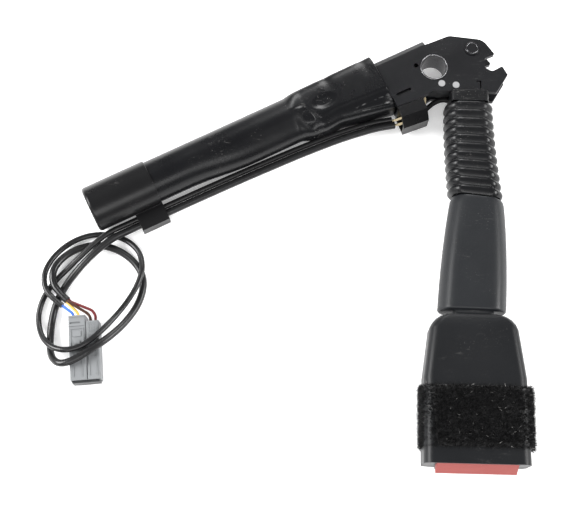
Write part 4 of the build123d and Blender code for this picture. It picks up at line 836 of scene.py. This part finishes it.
edge_turns = np.radians(np.linspace(0, 90, 5))
ground = [ground_station(FLEECE_TOP - GROUND_EDGE * (1 - math.cos(a)), 1 - math.sin(a))
          for a in edge_turns]
ground += [ground_station(y, 0) for y in np.linspace(FLEECE_TOP - 3, FLEECE_END + 3, 12)]
ground += [ground_station(FLEECE_END + GROUND_EDGE * (1 - math.sin(a)), 1 - math.cos(a))
           for a in edge_turns]
ground += [bore_station(y) for y in np.linspace(FLEECE_END, FLEECE_TOP, 8)]
ground_mesh = grid_mesh("pile_ground", cut_corner_rings(ground, GROUND_SHARPNESS), wrap_rows=True)
show("pile_ground", ground_mesh, "buckle", "fleece", paint["black_pile"], "fleece_band")


def tuft_lean(places, seed):
    """Shared lean of neighbouring fibres: a sum of six sines of their places."""
    waves = np.random.default_rng(seed)
    directions = waves.normal(size=(6, 3))
    directions /= np.linalg.norm(directions, axis=1)[:, None]
    lengths = waves.uniform(1.2, 3.2, 6)
    phases = places @ (directions * (2 * math.pi / lengths)[:, None]).T + waves.uniform(0, 6.28, 6)
    return np.sin(phases).sum(1) / 3.0


def fibre_mesh(name, roots, tips, radius):
    """Closed three-sided spikes from roots to tips, all in one mesh: corner = root + radius * turn."""
    count = len(roots)
    along = tips - roots
    along /= np.linalg.norm(along, axis=1)[:, None]
    side = np.cross(along, rng.normal(size=(count, 3)))
    side /= np.linalg.norm(side, axis=1)[:, None]
    other = np.cross(along, side)
    turns = (0, 2.094, 4.189)
    corners = [roots + radius * (math.cos(a) * side + math.sin(a) * other) for a in turns]
    points = np.stack([*corners, tips], 1).reshape(-1, 3)
    base = 4 * np.arange(count)[:, None, None]
    pattern = np.array([(0, 2, 1), (0, 1, 3), (1, 2, 3), (2, 0, 3)])[None]
    triangles = (base + pattern).reshape(-1, 3)
    mesh = bpy.data.meshes.new(name)
    mesh.from_pydata((points * MM).tolist(), [], triangles.tolist())
    return mesh


root_y = rng.uniform(FLEECE_END + ROOT_DEPTH, FLEECE_TOP - ROOT_DEPTH, FIBRES)
around = cut_corner_rings([ground_station(0.0, ROOT_DEPTH)], GROUND_SHARPNESS, 720)[0][:, [0, 2]]
steps = np.linalg.norm(np.roll(around, -1, 0) - around, axis=1)
walk = np.concatenate([[0], np.cumsum(steps)])
where_on = rng.uniform(0, walk[-1], FIBRES)
closed = np.vstack([around, around[:1]])
root_x = np.interp(where_on, walk, closed[:, 0])
root_z = np.interp(where_on, walk, closed[:, 1])
ahead_x = np.interp((where_on + 0.3) % walk[-1], walk, closed[:, 0]) - root_x
ahead_z = np.interp((where_on + 0.3) % walk[-1], walk, closed[:, 1]) - root_z
outward = np.stack([ahead_z, np.zeros(FIBRES), -ahead_x], 1)
outward /= np.linalg.norm(outward, axis=1)[:, None] + 1e-9
roots = np.stack([root_x, root_y, root_z], 1)
flip = np.sign(((roots - [FLEECE_CENTRE, 0, 0]) * outward * [1, 0, 1]).sum(1))
outward *= flip[:, None]
lean = np.stack([tuft_lean(roots, seed) for seed in (1, 2, 3)], 1) * TUFT_LEAN
lean += rng.normal(size=(FIBRES, 3)) * SINGLE_LEAN
lean[root_y > FLEECE_TOP - EDGE_BAND, 1] += EDGE_PULL
lean[root_y < FLEECE_END + EDGE_BAND, 1] -= EDGE_PULL
growth = outward + lean
growth /= np.linalg.norm(growth, axis=1)[:, None]
lengths = rng.uniform(*FIBRE_LENGTHS, FIBRES) * (1 + TUFT_LENGTH * tuft_lean(roots, 9))
tips = roots + growth * lengths[:, None]
tips[:, 2] = np.maximum(tips[:, 2], FLOOR_Z + 0.1)
pile_mesh = fibre_mesh("pile", roots, tips, FIBRE_RADIUS)
show("pile", pile_mesh, "buckle", "fleece", paint["black_pile"])
pile_mesh.materials.append(paint["pale_lint"])
lint = rng.random(FIBRES) < LINT_SHARE
pile_mesh.polygons.foreach_set("material_index", np.repeat(lint.astype(np.int32), 4))
print("fibres:", FIBRES, "lint:", int(lint.sum()))

# %% [markdown]
# The pretensioner tube is round under the cap and pressed flat and wide at the bracket. Across the
# tube its outline is a superellipse, |a / w| to the power n plus |z / h| to the power n equals one:
# n is 2 where it is round and grows to 8 at the mouth. The press left its marks on the front: two
# crimps at the upper edge, and a crease that starts as a hook near the tube's middle, drops across
# it, and then runs on to the mouth. Below the crease the surface steps down and slopes away, and a
# shallow pocket lies above the hook. Bell curves and smooth steps of the place give their depths.

# %% Pressed tube
TUBE_START, ROUND_END, STEP_END, TUBE_MOUTH = -214.0, -90.0, -79.0, -31.4
TUBE_RADIUS = 12.5
TUBE_WALL = 1.5
TUBE_COLUMNS = 144
FLAT_LOW, MOUTH_WIDENS = 14.2, 8.4
FLAT_THINS, MOUTH_THINS = 2.1, 0.3
CRIMP_PLACES = (-62.0, -37.5)
CRIMP_DEPTH, CRIMP_WIDTH = 0.36, 3.2
CREASE_START, CREASE_DROP, CREASE_FALL = 1.1, 9.4, 2.4
HOOK_START, HOOK_END, MOUTH_SIDE = -81.5, -74.4, 45.8
STEP_DEPTH, STEP_WIDTH, SIDE_SLOPE = 0.9, 1.4, 0.22
POCKET_PLACE, POCKET_REACH, POCKET_DEPTH = (-68.5, -2.2), (8.5, 4.6), 0.7
SWELL = 2.6


def smooth(value):
    """Smooth step from 0 to 1."""
    value = np.clip(value, 0, 1)
    return value * value * (3 - 2 * value)


def bell(value, middle, width):
    """Bell curve of height one."""
    return np.exp(-((value - middle) / width) ** 2)


def tube_points(t, inset):
    """Rows of the tube in its own frame, t along it, a across it, z up: |a/w|^n + |z/h|^n = 1."""
    t = np.asarray(t, float)[:, None]
    inset = np.asarray(inset, float).reshape(-1, 1)
    press = smooth((t - ROUND_END) / (STEP_END - ROUND_END))
    widen = np.clip((t - STEP_END) / (TUBE_MOUTH - STEP_END), 0, 1)
    low = -TUBE_RADIUS + press * (TUBE_RADIUS - FLAT_LOW) - widen * MOUTH_WIDENS
    high = TUBE_RADIUS - 0.1 * press
    half = TUBE_RADIUS - press * FLAT_THINS - widen * MOUTH_THINS
    power = 2.0 + 2.4 * press + 3.6 * widen
    width, middle = (high - low) / 2 - inset, (high + low) / 2
    half = half - inset
    turn = np.linspace(0, 2 * math.pi, TUBE_COLUMNS, endpoint=False)[None, :]
    angle = np.arctan2(half * np.sin(turn), width * np.cos(turn))
    shape = np.abs(np.cos(angle) / width) ** power + np.abs(np.sin(angle) / half) ** power
    radius = shape ** (-1 / power)
    a, z = radius * np.cos(angle) + middle, radius * np.sin(angle)
    return t + 0 * a, a, z


def dented(t, a, z):
    """Press marks of the outer surface.

    A crimp is an amount times a bell over t. The crease is the a, for each t, below which the
    surface goes down: by a smooth step, then by a slope times the distance. The pocket is an amount
    times one minus a smooth step of an ellipse's radius. The swell moves the lower side outwards.
    """
    front = smooth((z + 2) / 4)
    for place in CRIMP_PLACES:
        depth = CRIMP_DEPTH * bell(t, place, CRIMP_WIDTH) * smooth((a + 2) / 12) * front
        a = a - 0.25 * depth
        z = z - depth
    crease = CREASE_START - CREASE_DROP * smooth((t - HOOK_START) / 7)
    crease = crease - CREASE_FALL * np.clip((t - HOOK_END) / MOUTH_SIDE, 0, 1)
    below = crease - a
    slope = STEP_DEPTH * smooth(below / STEP_WIDTH) + SIDE_SLOPE * np.maximum(below - STEP_WIDTH, 0)
    slope = slope * smooth((t + 92) / 10) * smooth((z + 7) / 11)
    rim = np.hypot((t - POCKET_PLACE[0]) / POCKET_REACH[0], (a - POCKET_PLACE[1]) / POCKET_REACH[1])
    pocket = POCKET_DEPTH * (1 - smooth((rim - 0.5) / 0.5)) * smooth(z / 5)
    lengthwise = smooth((t + 160) / 40) * (1 - smooth((t + 76) / 14))
    swell = SWELL * lengthwise * smooth((-a - 5) / 7)
    return t, a - swell, z - slope - pocket


round_t = np.linspace(TUBE_START, ROUND_END - 2, 20)
pressed_t = np.linspace(ROUND_END, TUBE_MOUTH - 0.8, 130)
outer_t = np.concatenate([round_t, pressed_t])
rim_turns = np.radians(np.linspace(15, 165, 6))
rim_t = TUBE_MOUTH - 0.7 + 0.7 * np.sin(rim_turns)
rim_inset = TUBE_WALL / 2 * (1 - np.cos(rim_turns))
inner_t = np.linspace(TUBE_MOUTH - 0.8, TUBE_START, 30)
outer_part = dented(*tube_points(outer_t, np.zeros(len(outer_t))))
rim_part = dented(*tube_points(rim_t, rim_inset))
inner_part = tube_points(inner_t, np.full(len(inner_t), TUBE_WALL))
t, a, z = (np.concatenate(parts) for parts in zip(outer_part, rim_part, inner_part))
grid = t[..., None] * ALONG + (a + TUBE_OFFSET)[..., None] * ACROSS + z[..., None] * UP
tube_mesh = grid_mesh("pressed_tube", grid, wrap_rows=True)
show("pressed_tube", tube_mesh, "anchor", "gloss_black_steel", paint["gloss_enamel"],
     "pretensioner_tube")
print("tube faces:", len(tube_mesh.polygons))

# %% [markdown]
# Two thin rings of lighter steel are painted highlights on the bracket: the glint in the groove of the
# staked pin's head, and the bright rim of the bush. Each is a torus, a small circle carried round the
# axis.

# %% Bright rings
def ring_grid(centre, radius, thickness, rows=10, columns=72):
    """Grid of a torus about Z; reach = radius + thickness * cos(small), z = thickness * sin(small)."""
    small = np.linspace(0, 2 * math.pi, rows, endpoint=False)[:, None]
    large = np.linspace(0, 2 * math.pi, columns, endpoint=False)[None, :]
    reach = radius + thickness * np.cos(small)
    x = centre[0] + reach * np.cos(large)
    y = centre[1] + reach * np.sin(large)
    z = centre[2] + thickness * np.sin(small) + 0 * large
    return np.stack([x, y, z], -1)


BUSH_FACE = 8.0
# Both rings are painted highlights: lighter steel put where the pin's groove and the bush's rim glint.
RINGS_ON_BRACKET = (
    ("pin_groove_ring", (22.7, 12.5, BUSH_FACE + 0.62), 3.35, 0.28, "bush_steel"),
    ("bush_edge_ring", (0, 0, BUSH_FACE - 0.02), 7.85, 0.16, "bare_steel"),
)
for name, centre, radius, thickness, finish in RINGS_ON_BRACKET:
    ring_mesh = grid_mesh(name, ring_grid(centre, radius, thickness), wrap_rows=True)
    show(name, ring_mesh, "anchor", "bare_steel", paint[finish])
print("rings:", len(RINGS_ON_BRACKET))

# %% [markdown]
# Small mouldings on the connector: a spring latch with its finger pad, ribs that key it to its
# mate, and rims round the wire entries. Each is a box with rounded edges, placed in the housing's
# own frame, and all of them are one piece. A box is written as its range to the right, its range
# down from the upper end, and its range above the surface, all in millimetres.

# %% Connector mouldings
CONNECTOR_CORNER = np.array([-206.7, -154.3, FLOOR_Z])
CONNECTOR_TURN = math.radians(6.5)
CONNECTOR_RIGHT = np.array([math.cos(CONNECTOR_TURN), math.sin(CONNECTOR_TURN), 0.0])
CONNECTOR_UPWARD = np.array([-math.sin(CONNECTOR_TURN), math.cos(CONNECTOR_TURN), 0.0])
CUBE_FACES = [(0, 3, 2, 1), (4, 5, 6, 7), (0, 1, 5, 4), (1, 2, 6, 5), (2, 3, 7, 6), (3, 0, 4, 7)]
ENTRIES_START, ENTRY_PITCH, ENTRY_WIDTH = (11.0, 5.7), (1.35, 1.6), (0.85, 1.1)
ENTRY_HEIGHTS = (10.4, 10.75)
MOULDING_ROOT = 0.3
mouldings = [
    (0.5, 9.1, 0.2, 1.1, 11.0, 11.35), (1.0, 8.6, 7.4, 8.0, 11.0, 11.5),
    (1.0, 1.5, 7.4, 17.5, 11.0, 11.4), (8.1, 8.6, 7.4, 17.5, 11.0, 11.4),
    (2.6, 7.0, 9.2, 12.4, 11.0, 11.5), (3.2, 6.4, 14.6, 16.6, 11.0, 11.6),
    (0.9, 8.7, 18.6, 19.1, 11.0, 11.3), (2.2, 2.6, 21.0, 35.0, 11.0, 11.35),
    (6.9, 7.3, 21.0, 35.0, 11.0, 11.35), (10.5, 16.3, 4.3, 4.9, 10.4, 10.8),
    (11.0, 11.4, 12.5, 35.0, 10.4, 10.75), (15.2, 15.6, 12.5, 35.0, 10.4, 10.75),
    (10.5, 16.3, 11.2, 11.8, 10.4, 10.7), (10.6, 16.2, 24.0, 24.5, 10.4, 10.7),
]
for row in range(3):
    for column in range(4):
        x = ENTRIES_START[0] + ENTRY_PITCH[0] * column
        drop = ENTRIES_START[1] + ENTRY_PITCH[1] * row
        mouldings.append((x, x + ENTRY_WIDTH[0], drop, drop + ENTRY_WIDTH[1], *ENTRY_HEIGHTS))
corners, faces = [], []
for x0, x1, drop0, drop1, z0, z1 in mouldings:
    first = len(corners)
    for z_here in (z0 - MOULDING_ROOT, z1):
        for x, drop in ((x0, drop1), (x1, drop1), (x1, drop0), (x0, drop0)):
            place = CONNECTOR_CORNER + x * CONNECTOR_RIGHT - drop * CONNECTOR_UPWARD + z_here * UP
            corners.append(tuple(place * MM))
    faces += [tuple(first + k for k in face) for face in CUBE_FACES]
ribs_mesh = bpy.data.meshes.new("connector_mouldings")
ribs_mesh.from_pydata(corners, [], faces)
ribs = show("connector_mouldings", ribs_mesh, "anchor", "grey_plastic", paint["grey_plastic"])
rounding = ribs.modifiers.new("edges", "BEVEL")
rounding.width = 0.1 * MM
rounding.segments = 2
print("connector mouldings:", len(mouldings))
